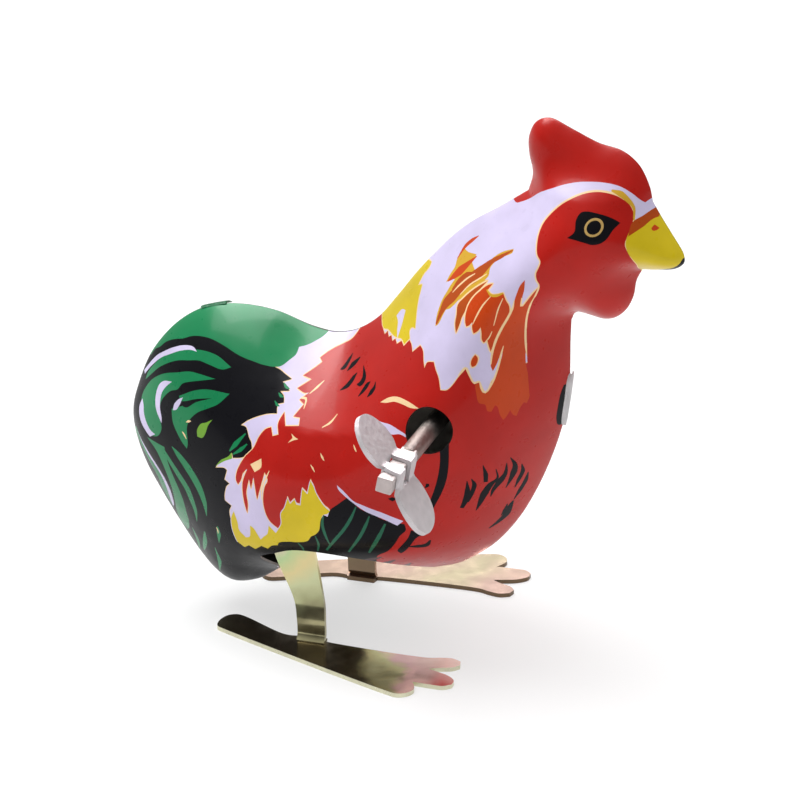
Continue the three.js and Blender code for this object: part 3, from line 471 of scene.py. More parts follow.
# neck: yellow feathers at the back, brown flames in front
outlined("yellow", "cream", (-8, 56), (-4, 53), (-2, 51), (-0.8, 51.3), (0.2, 51.2), (1.2, 51.2),
         (2.6, 51.5), (3.3, 51.1), (4.2, 52.2), (3.8, 53), (4.2, 53.6), (4.9, 53.7), (4.5, 55.5),
         (4.3, 57), (4.4, 59), (3.5, 58.5), (4.2, 60.2), (5, 61.3), (5.2, 62), (3.4, 61.9), (2, 64),
         width=0.12)
area("lavender", (0.3, 53.4), (1.2, 54.6), (2, 54.8), (1.9, 53), (1.6, 51.2), (1.2, 51.9), (0.9, 53))
area("ochre", (10.4, 64.4), (11.2, 66), (12, 65.8), (13.9, 66), (13.4, 64.9), (14.2, 64.2), (15, 64.9),
     (16.2, 65.6), (17.2, 66.6), (18.6, 67.6), (20.4, 68.4), (20.3, 67.9), (19, 67.1), (17.6, 66.1),
     (16.9, 65.1), (16.9, 64.2), (16.4, 63.5), (17, 63.7), (16, 62.5), (14.8, 61.5), (13.5, 60.6),
     (12.4, 59.9), (11.7, 59.1), (10.9, 58.3), (10.3, 58), (9.9, 57.2), (9.3, 55.8), (8.8, 55.4),
     (8.7, 56.8), (8.9, 58), (9.2, 59), (9.8, 60.2), (10.3, 61.2), (10.8, 62), (10.2, 61.8), (9.2, 61.1),
     (9.7, 62.3), (10.3, 63.4))
strokes("brown", [(13.4, 68, .1), (12.4, 67.2, .45), (11.4, 66.2, .45), (10.4, 64.4, .1)],
        [(14, 65.8, .1), (12.8, 64.6, .6), (11.5, 63.3, 1.1), (10.5, 62.3, .7), (9.5, 61.3, .1)])
strokes("flame", [(20.3, 68.2, .15), (18.5, 67, .5), (17, 66, .6), (15.8, 64.8, 1.1), (14.6, 63.6, 1.5),
                  (13.2, 62.4, 1.3), (12, 61.1, 1.2), (11, 59.9, 1.4), (10, 58.7, 1.2), (9.4, 57.3, .7),
                  (8.9, 55.7, .3)],
        [(14.3, 63.9, .1), (13, 63.2, .8), (11.7, 62, .7), (10.8, 60.6, .4)])
strokes("cream", [(14.4, 63.8, .1), (13.2, 62.9, .22), (11.8, 61.5, .22), (10.9, 60.4, .1)],
        [(16.5, 64.3, .1), (15.2, 63.3, .2), (13.8, 62.2, .2), (12.4, 60.6, .1)])
outlined("flame", "cream", (16.9, 63.5), (16, 62.9), (14.6, 61.8), (13.2, 60.4), (12.3, 59.2), (12.4, 58),
         (12.4, 56.8), (12.8, 55.6), (13.2, 56.8), (13.4, 57.8), (13.9, 59), (14.2, 60), (15.2, 61.4),
         (16, 62.4), width=0.2)
outlined("brown", "cream", (17.9, 63.4), (16.9, 62.9), (15.9, 62), (14.9, 60.9), (14.2, 59.6), (14, 58.4),
         (14.1, 57.4), (14.4, 56.8), (14.9, 57.1), (15.3, 57.6), (15.4, 56.7), (15.7, 56), (16.3, 56.4),
         (16.7, 57), (16.9, 56.2), (17, 55.2), (17.3, 54.7), (17.8, 55), (18, 54.2), (18.3, 53.2),
         (18.6, 54.2), (19.1, 55.5), (19.7, 56.8), (20.4, 58.2), (20.8, 59.6), (20.7, 60.6), (20.3, 61.3),
         (19.8, 62.4), (18.8, 62), (17.9, 61.9), (17.2, 62.4), width=0.2)
strokes("ochre", [(19.8, 62.4, .2), (18.8, 61.9, .4), (17.8, 61.8, .4), (17, 62.4, .2)])
strokes("cream", [(17.8, 61.6, .1), (16.7, 60.2, .25), (15.9, 58.6, .25), (15.4, 57.3, .1)],
        [(19.8, 61.6, .1), (19.2, 60, .22), (18.6, 57.3, .1)], [(18.4, 56.4, .1), (18, 55.4, .2),
        (17.5, 54.8, .1)])
area("brown", (23.1, 64.8), (22.4, 63.9), (21.8, 62.3), (21.3, 60.6), (20.8, 59), (20, 57.4),
     (19.2, 55.6), (18.7, 54.2), (18.4, 52.6), (18.4, 51), (18.7, 50.1), (19.1, 51), (19.5, 52.4),
     (19.9, 53.6), (19.7, 52), (19.4, 50.4), (19, 48.9), (18.4, 47.4), (17.9, 46.9), (17.5, 47.4),
     (17.1, 48.6), (16.5, 48.4), (16.8, 46.8), (17.2, 45.5), (18, 45.1), (18.3, 44), (18.8, 43.8),
     (19.2, 44.7), (19.5, 44.4), (19.8, 43), (20.2, 42), (20.5, 42.3), (21, 43.3), (21.3, 42.4),
     (21.7, 42), (22.1, 43.2), (22.5, 43.9), (22.8, 43.6), (23.1, 44.6), (22.9, 47.5), (22.5, 50.5),
     (22.5, 53), (22.6, 55.5), (23, 57.5), (23.4, 59.5), (24.2, 61.5), (26, 62.6), (26, 66), (25.2, 63.9),
     (24, 62.6), (22.9, 61), (22.4, 60.2), (22.6, 61.6), (23, 63.2))
strokes("cream", [(21.5, 61.4, .1), (21.2, 60, .3), (20.4, 58.2, .35), (19.6, 56.6, .35),
        (18.9, 54.8, .35), (18.5, 53, .3), (18.4, 51.2, .15)], [(19.9, 53.8, .1), (19.6, 52.4, .25),
        (19.3, 50.4, .25), (18.6, 48, .25), (17.9, 47, .3), (17.4, 47.7, .25), (17, 48.9, .2),
        (16.4, 48.7, .25), (15.8, 49.6, .25), (15, 51, .3), (14, 49.8, .2)], [(25.3, 64, .1),
        (24.2, 62.7, .25), (23, 61, .25), (22.4, 60.2, .25), (22.6, 61.8, .15)])
area("cream", (16.2, 53.1), (15.7, 52.4), (15.5, 51.5), (15.8, 50.9), (16.3, 51), (16.7, 51.6),
     (16.8, 52.6))
area("brown", (16.2, 52.9), (15.8, 52.3), (15.7, 51.5), (15.9, 51.1), (16.3, 51.2), (16.6, 51.7),
     (16.6, 52.5))

# head
outlined("red", "cream", (24.4, 70.9), (24.8, 72.7), (26.1, 74.6), (28, 76.4), (30.5, 77.6), (33, 77.9),
         (35.5, 77.3), (37, 76.1), (37.7, 74.9), (37.9, 73.4), (37.5, 71.5), (37.3, 70.5), (37.8, 69),
         (38.2, 67.8), (38.5, 66.5), (38.3, 65.3), (38.5, 60), (36, 50), (28, 48), (23.5, 48), (22.6, 53),
         (22.8, 57), (23.6, 60), (24.6, 62), (25.3, 64), (24.9, 65), (24.8, 66), (25.2, 67), (25.4, 67.9),
         (24.7, 68.8), width=0.24)
area("red", (23.1, 44.6), (22.7, 50), (22.6, 53), (22.8, 57), (23.6, 60), (24.6, 62), (26, 63), (30, 60),
     (30, 44))
strokes("ochre", [(34.5, 78.1, .2), (35.8, 77.6, .7), (37, 76.5, .5), (37.8, 75.2, .3), (38, 73.6, .2)])
area("red", (18.6, 73.2), (19.6, 73.6), (20.7, 74.2), (21.7, 75), (22.8, 76), (24.2, 77), (25.5, 77.7),
     (27.2, 78.4), (29.2, 78.85), (31, 79), (33, 79), (34.8, 78.75), (36.1, 78.25), (37.4, 77.3),
     (38.4, 76.2), (39, 75.6), (40.5, 76.6), (44, 90), (18, 92), (16, 74))
area("yellow", (37.6, 71.9), (37.4, 70.6), (37.8, 69), (38.3, 67.8), (38.6, 66.5), (38.4, 65.3), (38, 62),
     (48, 60), (48, 74), (41, 76), (40.2, 74.3), (39, 73.4), (38, 72.8))
area("band_orange", (37.9, 73.4), (39, 73.9), (40, 74.4), (41.2, 74.6), (40.9, 73.2), (40.2, 73.1),
     (39.4, 72.5), (38.5, 72), (37.6, 71.5))
area("brown", (40.3, 72), (40.6, 72.35), (41, 72), (41.3, 71.7), (40.9, 71.5), (40.5, 71.6))
area("black", (29.3, 71.9), (30.3, 72.8), (30.3, 74.4), (30.8, 75.4), (31.6, 75.6), (33.2, 75.3),
     (34.6, 74.8), (35.8, 74.1), (36.4, 73.6), (35.6, 72.8), (34.9, 71.6), (34, 71), (33, 70.9),
     (31.8, 71.3), (30.4, 71.7))
# black stroke along the underside of the beak: painted shade of the gap there
strokes("black", [(41, 64.5, .3), (42.4, 64.7, .8), (43.6, 65, .9), (44.6, 65.7, .9), (45, 66.8, .4)])
PRINT.append(("gold", circle(*EYE, 1.32, 28)))
PRINT.append(("black", circle(*EYE, 0.98, 28)))


# ---- finishes ----
METAL_GRAIN = 0.6             # roughness of the noise on metals
GLOSS = 0.13                  # shine of the inks
BLACK_GLOSS = 0.05
VARNISH_ROUGHNESS = 0.08


def noise(tree, scale, detail=3.0, roughness=0.55):
    """A noise pattern in the object's own millimetres."""
    where = tree.nodes.new("ShaderNodeTexCoord")
    mapping = tree.nodes.new("ShaderNodeMapping")
    mapping.inputs["Scale"].default_value = (1 / MM, 1 / MM, 1 / MM)
    tree.links.new(where.outputs["Object"], mapping.inputs["Vector"])
    made = tree.nodes.new("ShaderNodeTexNoise")
    made.inputs["Scale"].default_value = scale
    made.inputs["Detail"].default_value = detail
    made.inputs["Roughness"].default_value = roughness
    tree.links.new(mapping.outputs["Vector"], made.inputs["Vector"])
    return made.outputs["Fac"]


def ramp(tree, source, *stops):
    """Colours along a value: (position, (r, g, b)) stops."""
    made = tree.nodes.new("ShaderNodeValToRGB")
    while len(made.color_ramp.elements) < len(stops):
        made.color_ramp.elements.new(0.5)
    for element, (position, colour) in zip(made.color_ramp.elements, stops):
        element.position = position
        element.color = (*colour, 1)
    tree.links.new(source, made.inputs["Fac"])
    return made.outputs["Color"]


def span(tree, source, low, high, to_low, to_high):
    made = tree.nodes.new("ShaderNodeMapRange")
    made.inputs["From Min"].default_value = low
    made.inputs["From Max"].default_value = high
    made.inputs["To Min"].default_value = to_low
    made.inputs["To Max"].default_value = to_high
    tree.links.new(source, made.inputs["Value"])
    return made.outputs["Result"]


def bump(tree, shader, height, strength, distance):
    made = tree.nodes.new("ShaderNodeBump")
    made.inputs["Strength"].default_value = strength
    made.inputs["Distance"].default_value = distance * MM
    tree.links.new(height, made.inputs["Height"])
    tree.links.new(made.outputs["Normal"], shader.inputs["Normal"])


def material(name, colour, metallic=0.0, roughness=0.3):
    made = bpy.data.materials.new(name)
    made.use_nodes = True
    tree = made.node_tree
    shader = tree.nodes["Principled BSDF"]
    shader.inputs["Base Color"].default_value = (*colour, 1)
    shader.inputs["Metallic"].default_value = metallic
    shader.inputs["Roughness"].default_value = roughness
    made.diffuse_color = (*colour, 1)
    return made, tree, shader


def varied(colour, amount):
    return tuple(min(1.0, c * amount) for c in colour)


def ink_material(name, colour):
    """Printing ink under clear varnish on tinplate."""
    made, tree, shader = material("ink_" + name, colour, roughness=0.32)
    gloss = BLACK_GLOSS if name == "black" else GLOSS
    cloud = noise(tree, 0.09, 4)
    tint = ramp(tree, cloud, (0.3, varied(colour, 0.86)), (0.7, varied(colour, 1.08)))
    tree.links.new(tint, shader.inputs["Base Color"])
    tree.links.new(span(tree, noise(tree, 0.5, 2), 0.3, 0.7, 0.26, 0.36), shader.inputs["Roughness"])
    shader.inputs["Specular IOR Level"].default_value = gloss
    shader.inputs["Coat Weight"].default_value = gloss
    shader.inputs["Coat Roughness"].default_value = VARNISH_ROUGHNESS
    bump(tree, shader, noise(tree, 0.12, 1), 0.5, 0.2)
    return made


def metal(name, colour, roughness, scale=0.5, wear=0.25, metallic=1.0):
    """Metal with cloudy wear, about as large as 1 / scale in mm."""
    made, tree, shader = material(name, colour, metallic, roughness)
    cloud = noise(tree, scale, 5, METAL_GRAIN)
    tint = ramp(tree, cloud, (0.3, varied(colour, 1 - wear)), (0.7, varied(colour, 1 + wear / 3)))
    tree.links.new(tint, shader.inputs["Base Color"])
    rubbed = span(tree, noise(tree, scale * 2, 4, METAL_GRAIN), 0.3, 0.7, roughness * 0.75, roughness * 1.25)
    tree.links.new(rubbed, shader.inputs["Roughness"])
    bump(tree, shader, noise(tree, scale * 3, 3, METAL_GRAIN), 0.4, 0.03)
    return made


def along(tree, direction, low, high, wobble, scale):
    """0 to 1 along a direction of the object, between two positions in mm, with its contours disturbed."""
    where = tree.nodes.new("ShaderNodeTexCoord")
    reach = tree.nodes.new("ShaderNodeVectorMath")
    reach.operation = "DOT_PRODUCT"
    reach.inputs[1].default_value = direction
    tree.links.new(where.outputs["Object"], reach.inputs[0])
    share = span(tree, reach.outputs["Value"], low * MM, high * MM, 0, 1)
    cloud = span(tree, noise(tree, scale, 3), 0.25, 0.75, -wobble, wobble)
    total = tree.nodes.new("ShaderNodeMath")
    tree.links.new(share, total.inputs[0])
    tree.links.new(cloud, total.inputs[1])
    return total.outputs["Value"]


def chromate(name, direction, low, high, *stops):
    """Yellow chromate on zinc: an iridescent film whose colour drifts along the sheet. The stops given to it
    also carry painted shade and painted reflection.
    """
    made, tree, shader = material(name, stops[0][1], 0.92, 0.3)
    tint = ramp(tree, along(tree, direction, low, high, 0.1, 0.14), *stops)
    tree.links.new(tint, shader.inputs["Base Color"])
    tree.links.new(span(tree, noise(tree, 0.5, 2), 0.3, 0.7, 0.14, 0.24), shader.inputs["Roughness"])
    bump(tree, shader, noise(tree, 0.2, 1), 0.3, 0.05)
    return made


INK = {name: ink_material(name, colour) for name, colour in INKS.items()}
BARE_TIN = metal("bare_tin", (0.52, 0.5, 0.47), 0.38)
# the breast tab is bare tin given a near-white, less metallic colour: painted sheen
TAB_TIN_PAINTED_SHEEN = metal("tab_tin_painted_sheen", (0.9, 0.88, 0.89), 0.35, wear=0.1, metallic=0.25)
CUT_EDGE = metal("cut_edge", (0.22, 0.2, 0.19), 0.45)
NICKEL = metal("nickel_key", (0.6, 0.565, 0.58), 0.5, scale=0.8, wear=0.1, metallic=0.55)
PLATED_END = metal("plated_end", (0.52, 0.45, 0.44), 0.45, scale=0.8, wear=0.15, metallic=0.4)
STEEL = metal("frame_steel", (0.4, 0.39, 0.38), 0.42)
BRASS = metal("gear_brass", (0.6, 0.42, 0.16), 0.38)
BLUED = metal("blued_spring", (0.07, 0.08, 0.11), 0.35)
ARBOR = metal("arbor_steel", (0.3, 0.26, 0.24), 0.4, scale=1.2)
# the right foot is dark from the heel to the middle: painted reflection of the dark body above it; the left
# foot, the same part, is given pale colours
FOOT_ZINC_AND_REFLECTION = {
    RIGHT: chromate("foot_zinc_right_painted_reflection", (1, 0.55, 0), -34.3, 7.7,
                    (0.0, (0.2, 0.19, 0.11)), (0.2, (0.2, 0.16, 0.1)), (0.45, (0.18, 0.14, 0.09)),
                    (0.6, (0.24, 0.19, 0.1)), (0.66, (0.72, 0.64, 0.3)), (0.75, (0.85, 0.8, 0.42)),
                    (0.82, (1.0, 0.64, 0.62)), (1.0, (1.0, 0.7, 0.62))),
    LEFT: chromate("foot_zinc_left", (1, -0.55, 0), -41.6, 0.4,
                   (0.0, (0.6, 0.4, 0.34)), (0.3, (0.8, 0.58, 0.44)), (0.55, (0.88, 0.62, 0.5)),
                   (0.75, (0.82, 0.7, 0.46)), (1.0, (0.88, 0.6, 0.5)))}
# the left foot's cut edge is a dark copy of the right one: painted shade
ZINC_EDGE_AND_SHADE = {RIGHT: metal("zinc_edge_right", (0.7, 0.68, 0.5), 0.3, wear=0.15),
             LEFT: metal("zinc_edge_left_painted_shade", (0.16, 0.11, 0.07), 0.3, wear=0.15)}
# the right strip darkens low down, at the joggle: painted shade; the left strip is a dark copy of the same
# plated part: painted shade
STRIP_ZINC_AND_SHADE = {
    RIGHT: chromate("strip_zinc_right_painted_shade", (0.6, 0, -1), -30, -9,
                    (0.0, (0.66, 0.44, 0.44)), (0.2, (0.66, 0.52, 0.42)), (0.32, (0.42, 0.54, 0.28)),
                    (0.46, (0.64, 0.54, 0.28)), (0.6, (0.52, 0.54, 0.32)), (0.76, (0.36, 0.36, 0.2)),
                    (0.87, (0.2, 0.18, 0.1)), (1.0, (0.5, 0.46, 0.26))),
    LEFT: chromate("strip_zinc_left_painted_shade", (0.6, 0, -1), -30, -9,
                   (0.0, (0.2, 0.14, 0.1)), (0.5, (0.26, 0.22, 0.13)), (1.0, (0.24, 0.17, 0.11)))}


# ---- mesh making ----
def piece(name, vertices, faces, inks, normals):
    """A mesh object from vertices in mm in the seam frame."""
    mesh = bpy.data.meshes.new(name)
    mesh.from_pydata([(x * MM, (y + SEAM_Y) * MM, z * MM) for x, y, z in vertices], [], faces)
    mesh.polygons.foreach_set("use_smooth", [True] * len(mesh.polygons))
    mesh.polygons.foreach_set("material_index", inks)
    mesh.normals_split_custom_set(normals)
    obj = bpy.data.objects.new(name, mesh)
    bpy.context.scene.collection.objects.link(obj)
    return obj


def surface_points(loops, hole):
    """Points over the shell: the given loops first, then rings along the seam and a hexagonal grid."""
    fixed = np.concatenate(loops)
    tree = KDTree(len(fixed))
    for i, (x, z) in enumerate(fixed):
        tree.insert((x, z, 0), i)
    tree.balance()
    rings = []
    ahead = np.roll(RIM, -1, axis=0) - np.roll(RIM, 1, axis=0)
    ahead /= np.linalg.norm(ahead, axis=1)[:, None]
    turn = -1 if np.sum(RIM[:, 0] * np.roll(RIM[:, 1], -1) - np.roll(RIM[:, 0], -1) * RIM[:, 1]) < 0 else 1
    inward = np.column_stack([-ahead[:, 1], ahead[:, 0]]) * turn
    for k, reach in enumerate(EDGE_RINGS):
        rings.append((RIM + inward * reach)[k % 2::2 if k > 1 else 1])
    low, high = RIM.min(0), RIM.max(0)
    grid = []
    for row, z in enumerate(np.arange(low[1], high[1], GRID * HEX_ROW)):
        x = np.arange(low[0] + (row % 2) * GRID / 2, high[0], GRID)
        grid.append(np.column_stack([x, np.full(len(x), z)]))
    grid = np.concatenate(grid)
    near = KDTree(len(RIM))
    for i, (x, z) in enumerate(RIM):
        near.insert((x, z, 0), i)
    near.balance()
    grid = np.array([p for p in grid if near.find((p[0], p[1], 0))[2] > GRID_CLEAR])
    extra = np.concatenate([*rings, grid])
    extra = extra[inside(RIM, extra)]
    if hole is not None:
        extra = extra[~inside(hole, extra)]
    kept = [p for p in extra if tree.find((p[0], p[1], 0))[2] > INK_CLEAR]
    return np.vstack([fixed, kept])


def printed_triangles(hole):
    """The flat pattern of one shell: points, triangles and the ink of each triangle."""
    holes = [] if hole is None else [hole]
    loops = [RIM] + holes + [loop for _, loop in PRINT]
    flat, triangles, middle = triangulated(surface_points(loops, hole), loops, RIM, holes)
    ink = np.full(len(triangles), INK_NAMES.index("lavender"))
    for colour, loop in PRINT:
        ink[inside(loop, middle)] = INK_NAMES.index(colour)
    used = np.unique(triangles)
    number = np.full(len(flat), -1)
    number[used] = np.arange(len(used))
    return flat[used], number[triangles], ink


def rim_walls(front, count):
    """Triangles from the free edges of the front skin to the back skin, count points further on."""
    ways = {(p, q) for f in front for p, q in ((f[0], f[1]), (f[1], f[2]), (f[2], f[0]))}
    walls = []
    for f in front:
        for p, q in ((f[0], f[1]), (f[1], f[2]), (f[2], f[0])):
            if (q, p) not in ways:
                walls += [(q, p, p + count), (q, p + count, q + count)]
    return walls


def shell(side, hole, name, node):
    flat, triangles, ink = printed_triangles(hole)
    width, normal = surface(flat)
    width = np.maximum(width, 0) + SEAM_GAP
    outer = np.column_stack([flat[:, 0], side * width, flat[:, 1]])
    normal = normal * [1, side, 1]
    inner = outer - normal * TIN
    inner[:, 1] = side * np.maximum(side * inner[:, 1], SEAM_GAP)
    count = len(flat)
    front = triangles if side == RIGHT else triangles[:, ::-1]
    back = front[:, ::-1] + count
    rim = rim_walls(front, count)
    faces = [tuple(map(int, f)) for f in front] + [tuple(map(int, f)) for f in back]
    faces += [tuple(map(int, f)) for f in rim]
    bare = len(INK_NAMES)
    inks = [int(i) for i in ink] + [bare] * len(back) + [bare + 1] * len(rim)
    vertices = np.concatenate([outer, inner])
    corners = [tuple(normal[i]) for f in front for i in f]
    corners += [tuple(-normal[i - count]) for f in back for i in f]
    for p, q, r in rim:
        u, v = vertices[q] - vertices[p], vertices[r] - vertices[p]
        n = np.cross(u, v)
        n = tuple(n / max(np.linalg.norm(n), 1e-9))
        corners += [n, n, n]
    obj = piece(name, vertices, faces, inks, corners)
    for ink_name in INK_NAMES:
        obj.data.materials.append(INK[ink_name])
    obj.data.materials.append(BARE_TIN)
    obj.data.materials.append(CUT_EDGE)
    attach(obj, "chicken_body")
    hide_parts(node)
    return obj


key_hole = circle(*KEY_AXIS, KEY_HOLE_R, 96)
shell(RIGHT, key_hole, "tin_shell_right", "shell_right")
shell(LEFT, None, "tin_shell_left", "shell_left")


def round_rims(mesh, radius, segments):
    sharp = [e for e in mesh.edges if len(e.link_faces) == 2 and e.calc_face_angle(0) > EDGE_TURN]
    bmesh.ops.bevel(mesh, geom=sharp, offset=radius, segments=segments, profile=0.5, affect="EDGES")


def sheet(outline, thickness, bevel, step, holes=(), lift=None):
    """A flat sheet in its own x, y with rounded rims; lift(x, y) raises its middle surface."""
    loops = [np.array(outline)] + [np.array(h) for h in holes]
    low, high = loops[0].min(0), loops[0].max(0)
    across, up = np.arange(low[0], high[0], step), np.arange(low[1], high[1], step)
    grid = np.array([(x, y) for x in across for y in up])
    grid = grid[inside(loops[0], grid)]
    for h in loops[1:]:
        grid = grid[~inside(h, grid)]
    fixed = np.concatenate(loops)
    grid = np.array([g for g in grid if np.min(np.linalg.norm(fixed - g, axis=1)) > step * 0.45])
    points = np.vstack([fixed, grid]) if len(grid) else fixed
    flat, triangles, _ = triangulated(points, loops, loops[0], loops[1:])
    height = np.array([lift(x, y) for x, y in flat]) if lift else np.zeros(len(flat))
    mesh = bmesh.new()
    verts = [mesh.verts.new((x, y, h)) for (x, y), h in zip(flat, height)]
    for t in triangles:
        mesh.faces.new([verts[i] for i in t])
    lower = {}
    for v in verts:
        lower[v] = mesh.verts.new(v.co - Vector((0, 0, thickness)))
    top = list(mesh.faces)
    rim = [e for e in mesh.edges if len(e.link_faces) == 1]
    walls = []
    for e in rim:
        face = e.link_faces[0]
        corners = [l.vert for l in face.loops]
        p, q = e.verts
        if corners[(corners.index(p) + 1) % 3] is not q:
            p, q = q, p
        walls.append((p, q))
    for f in top:
        mesh.faces.new([lower[v] for v in reversed([l.vert for l in f.loops])])
    for p, q in walls:
        mesh.faces.new([q, p, lower[p], lower[q]])
    round_rims(mesh, bevel, 3)
    mesh.normal_update()
    return mesh


def place(mesh, name, matrix, finish):
    """Turns a mesh in mm into an object in the row frame. matrix takes it to the seam frame."""
    to_row = Matrix.Translation((0, SEAM_Y * MM, 0)) @ Matrix.Scale(MM, 4) @ matrix
    mesh.transform(to_row)
    if to_row.determinant() < 0:
        bmesh.ops.reverse_faces(mesh, faces=mesh.faces)
    data = bpy.data.meshes.new(name)
    for f in mesh.faces:
        f.smooth = True
    mesh.to_mesh(data)
    mesh.free()
    obj = bpy.data.objects.new(name, data)
    bpy.context.scene.collection.objects.link(obj)
    data.materials.append(finish)
    data.set_sharp_from_angle(angle=math.radians(SHARP_TURN))
    flatten = obj.modifiers.new("even_faces", "WEIGHTED_NORMAL")
    flatten.keep_sharp = True
    flatten.weight = 100
    return obj


# ---- winding key ----
KEY_TILT = math.radians(-56)
KEY_SHEET = 0.8
STRAP_HALF = 2.5
WING_UPPER = [(-1.5, -33.2), (-2.2, -31.6), (-3.6, -30.5), (-5.6, -30.6), (-8.2, -31.9), (-9.7, -33.8),
              (-10, -35.8), (-9.1, -37.9), (-7.2, -39.3), (-4.9, -39.6), (-3, -38.9), (-2, -38.2)]
WING_LOWER = [(2, -38.4), (3.6, -39.4), (6.2, -39.9), (8.6, -39.4), (10, -37.8), (10.1, -35.4), (9.3, -33),
              (7.6, -31.4), (5.2, -30.8), (3.2, -31), (1.8, -31.8), (1.4, -33)]
SQUARE_TILT = math.radians(-11)   # the wings run along a diagonal of the squared arbor
SQUARE = 2.5
SQUARE_FROM = 29.7            # the squared end is plated like the key
STRAP_RISE = 1.9              # underside of a strap over the corner of the square
SLITS = (-33.9, -36.3)        # the cuts between the straps
SLIT_HALF = 0.14
CREASE_ROUND = 0.05
WAIST_HALF = 2.55             # half the distance between the wings
KEY_STEP = 0.35               # spacing along the key's outline


def key_outline():
    upper = spline(WING_UPPER, KEY_STEP)
    lower = spline(WING_LOWER, KEY_STEP)
    waist_far = [(1.2, -30.9), (0, -30.75), (-1.2, -30.9)]
    waist_near = [(-1.2, -38.75), (0, -38.9), (1.2, -38.75)]
    loop = spline([WING_UPPER[-1]] + waist_near + [WING_LOWER[0]], KEY_STEP)
    far = spline([(2.6, -31.15)] + waist_far + [(-2.6, -31.15)], KEY_STEP)
    upper = np.array([p for p in upper if p[0] < -WAIST_HALF])
    lower = np.array([p for p in lower if p[0] > WAIST_HALF])
    loop = np.array([p for p in loop if -WAIST_HALF < p[0] < WAIST_HALF])
    far = np.array([p for p in far if -WAIST_HALF < p[0] < WAIST_HALF])
    return np.vstack([upper, loop, lower, far])


def strap_rise(w, y):
    """Height of the sheet's face: two straps over the square, one under it, creased along its corner."""
    peak = STRAP_RISE + KEY_SHEET - math.sqrt(w * w + CREASE_ROUND)
    if SLITS[1] < y < SLITS[0]:
        return min(KEY_SHEET / 2, KEY_SHEET - peak)
    return max(KEY_SHEET / 2, peak)


def slot_points(y):
    loop = [(-STRAP_HALF, y)] + [(w, y - SLIT_HALF) for w in np.linspace(-2, 2, 13)]
    return loop + [(STRAP_HALF, y)] + [(w, y + SLIT_HALF) for w in np.linspace(2, -2, 13)]


key_mesh = sheet(key_outline(), KEY_SHEET, bevel=0.24, step=0.4,
                 holes=[slot_points(y) for y in SLITS], lift=strap_rise)
# the sheet's x runs along the wings, its y along the arbor and its z to the side of the key
cos_t, sin_t = math.cos(KEY_TILT), math.sin(KEY_TILT)
key_frame = Matrix(((cos_t, 0, sin_t, KEY_AXIS[0]),
                    (0, 1, 0, 0),
                    (sin_t, 0, -cos_t, KEY_AXIS[1]),
                    (0, 0, 0, 1)))
key = place(key_mesh, "stamped_key", key_frame @ Matrix.Scale(-1, 4, (0, 0, 1)), NICKEL)
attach(key, "winding_set")
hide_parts("winding_key")


def lathe(profile, sides=48):
    """A turned piece round its own y axis from (y, radius) points, closed on the axis."""
    mesh = bmesh.new()
    rings = []
    turns = [2 * math.pi * k / sides for k in range(sides)]
    for y, r in profile:
        if r == 0:
            rings.append([mesh.verts.new((0, y, 0))])
        else:
            rings.append([mesh.verts.new((r * math.cos(t), y, r * math.sin(t))) for t in turns])
    for a, b in zip(rings, rings[1:]):
        for k in range(sides):
            n = (k + 1) % sides
            corners = [a[k % len(a)], a[n % len(a)], b[n % len(b)], b[k % len(b)]]
            unique = []
            for c in corners:
                if c not in unique:
                    unique.append(c)
            if len(unique) > 2:
                mesh.faces.new(unique)
    bmesh.ops.recalc_face_normals(mesh, faces=mesh.faces)
    return mesh


# y and radius along the round part
ARBOR_PROFILE = [(7.6, 0), (7.6, 0.9), (7.5, 1), (6.4, 1), (6.4, 1.4), (6.3, 1.5), (-29.2, 1.5),
                 (-29.6, 1.1), (-29.6, 0)]
SQUARE_LENGTH = 12.2
SQUARE_MIDDLE = -34.5
arbor_mesh = lathe(ARBOR_PROFILE)
square = bmesh.ops.create_cube(arbor_mesh, size=1.0)
bmesh.ops.scale(arbor_mesh, vec=(SQUARE, SQUARE_LENGTH, SQUARE), verts=square["verts"])
tilt = Matrix.Rotation(-SQUARE_TILT, 3, "Y")
bmesh.ops.rotate(arbor_mesh, cent=(0, 0, 0), matrix=tilt, verts=square["verts"])
bmesh.ops.translate(arbor_mesh, vec=(0, SQUARE_MIDDLE, 0), verts=square["verts"])
square_edges = [e for e in arbor_mesh.edges if all(v in square["verts"] for v in e.verts)]
bmesh.ops.bevel(arbor_mesh, geom=square_edges, offset=0.22, segments=3, profile=0.5, affect="EDGES")
arbor = place(arbor_mesh, "squared_arbor", Matrix.Translation((KEY_AXIS[0], 0, KEY_AXIS[1])), ARBOR)
arbor.data.materials.append(PLATED_END)
for face in arbor.data.polygons:
    if face.center.y < (SEAM_Y - SQUARE_FROM) * MM:
        face.material_index = 1
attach(arbor, "winding_set")
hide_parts("winding_arbor")


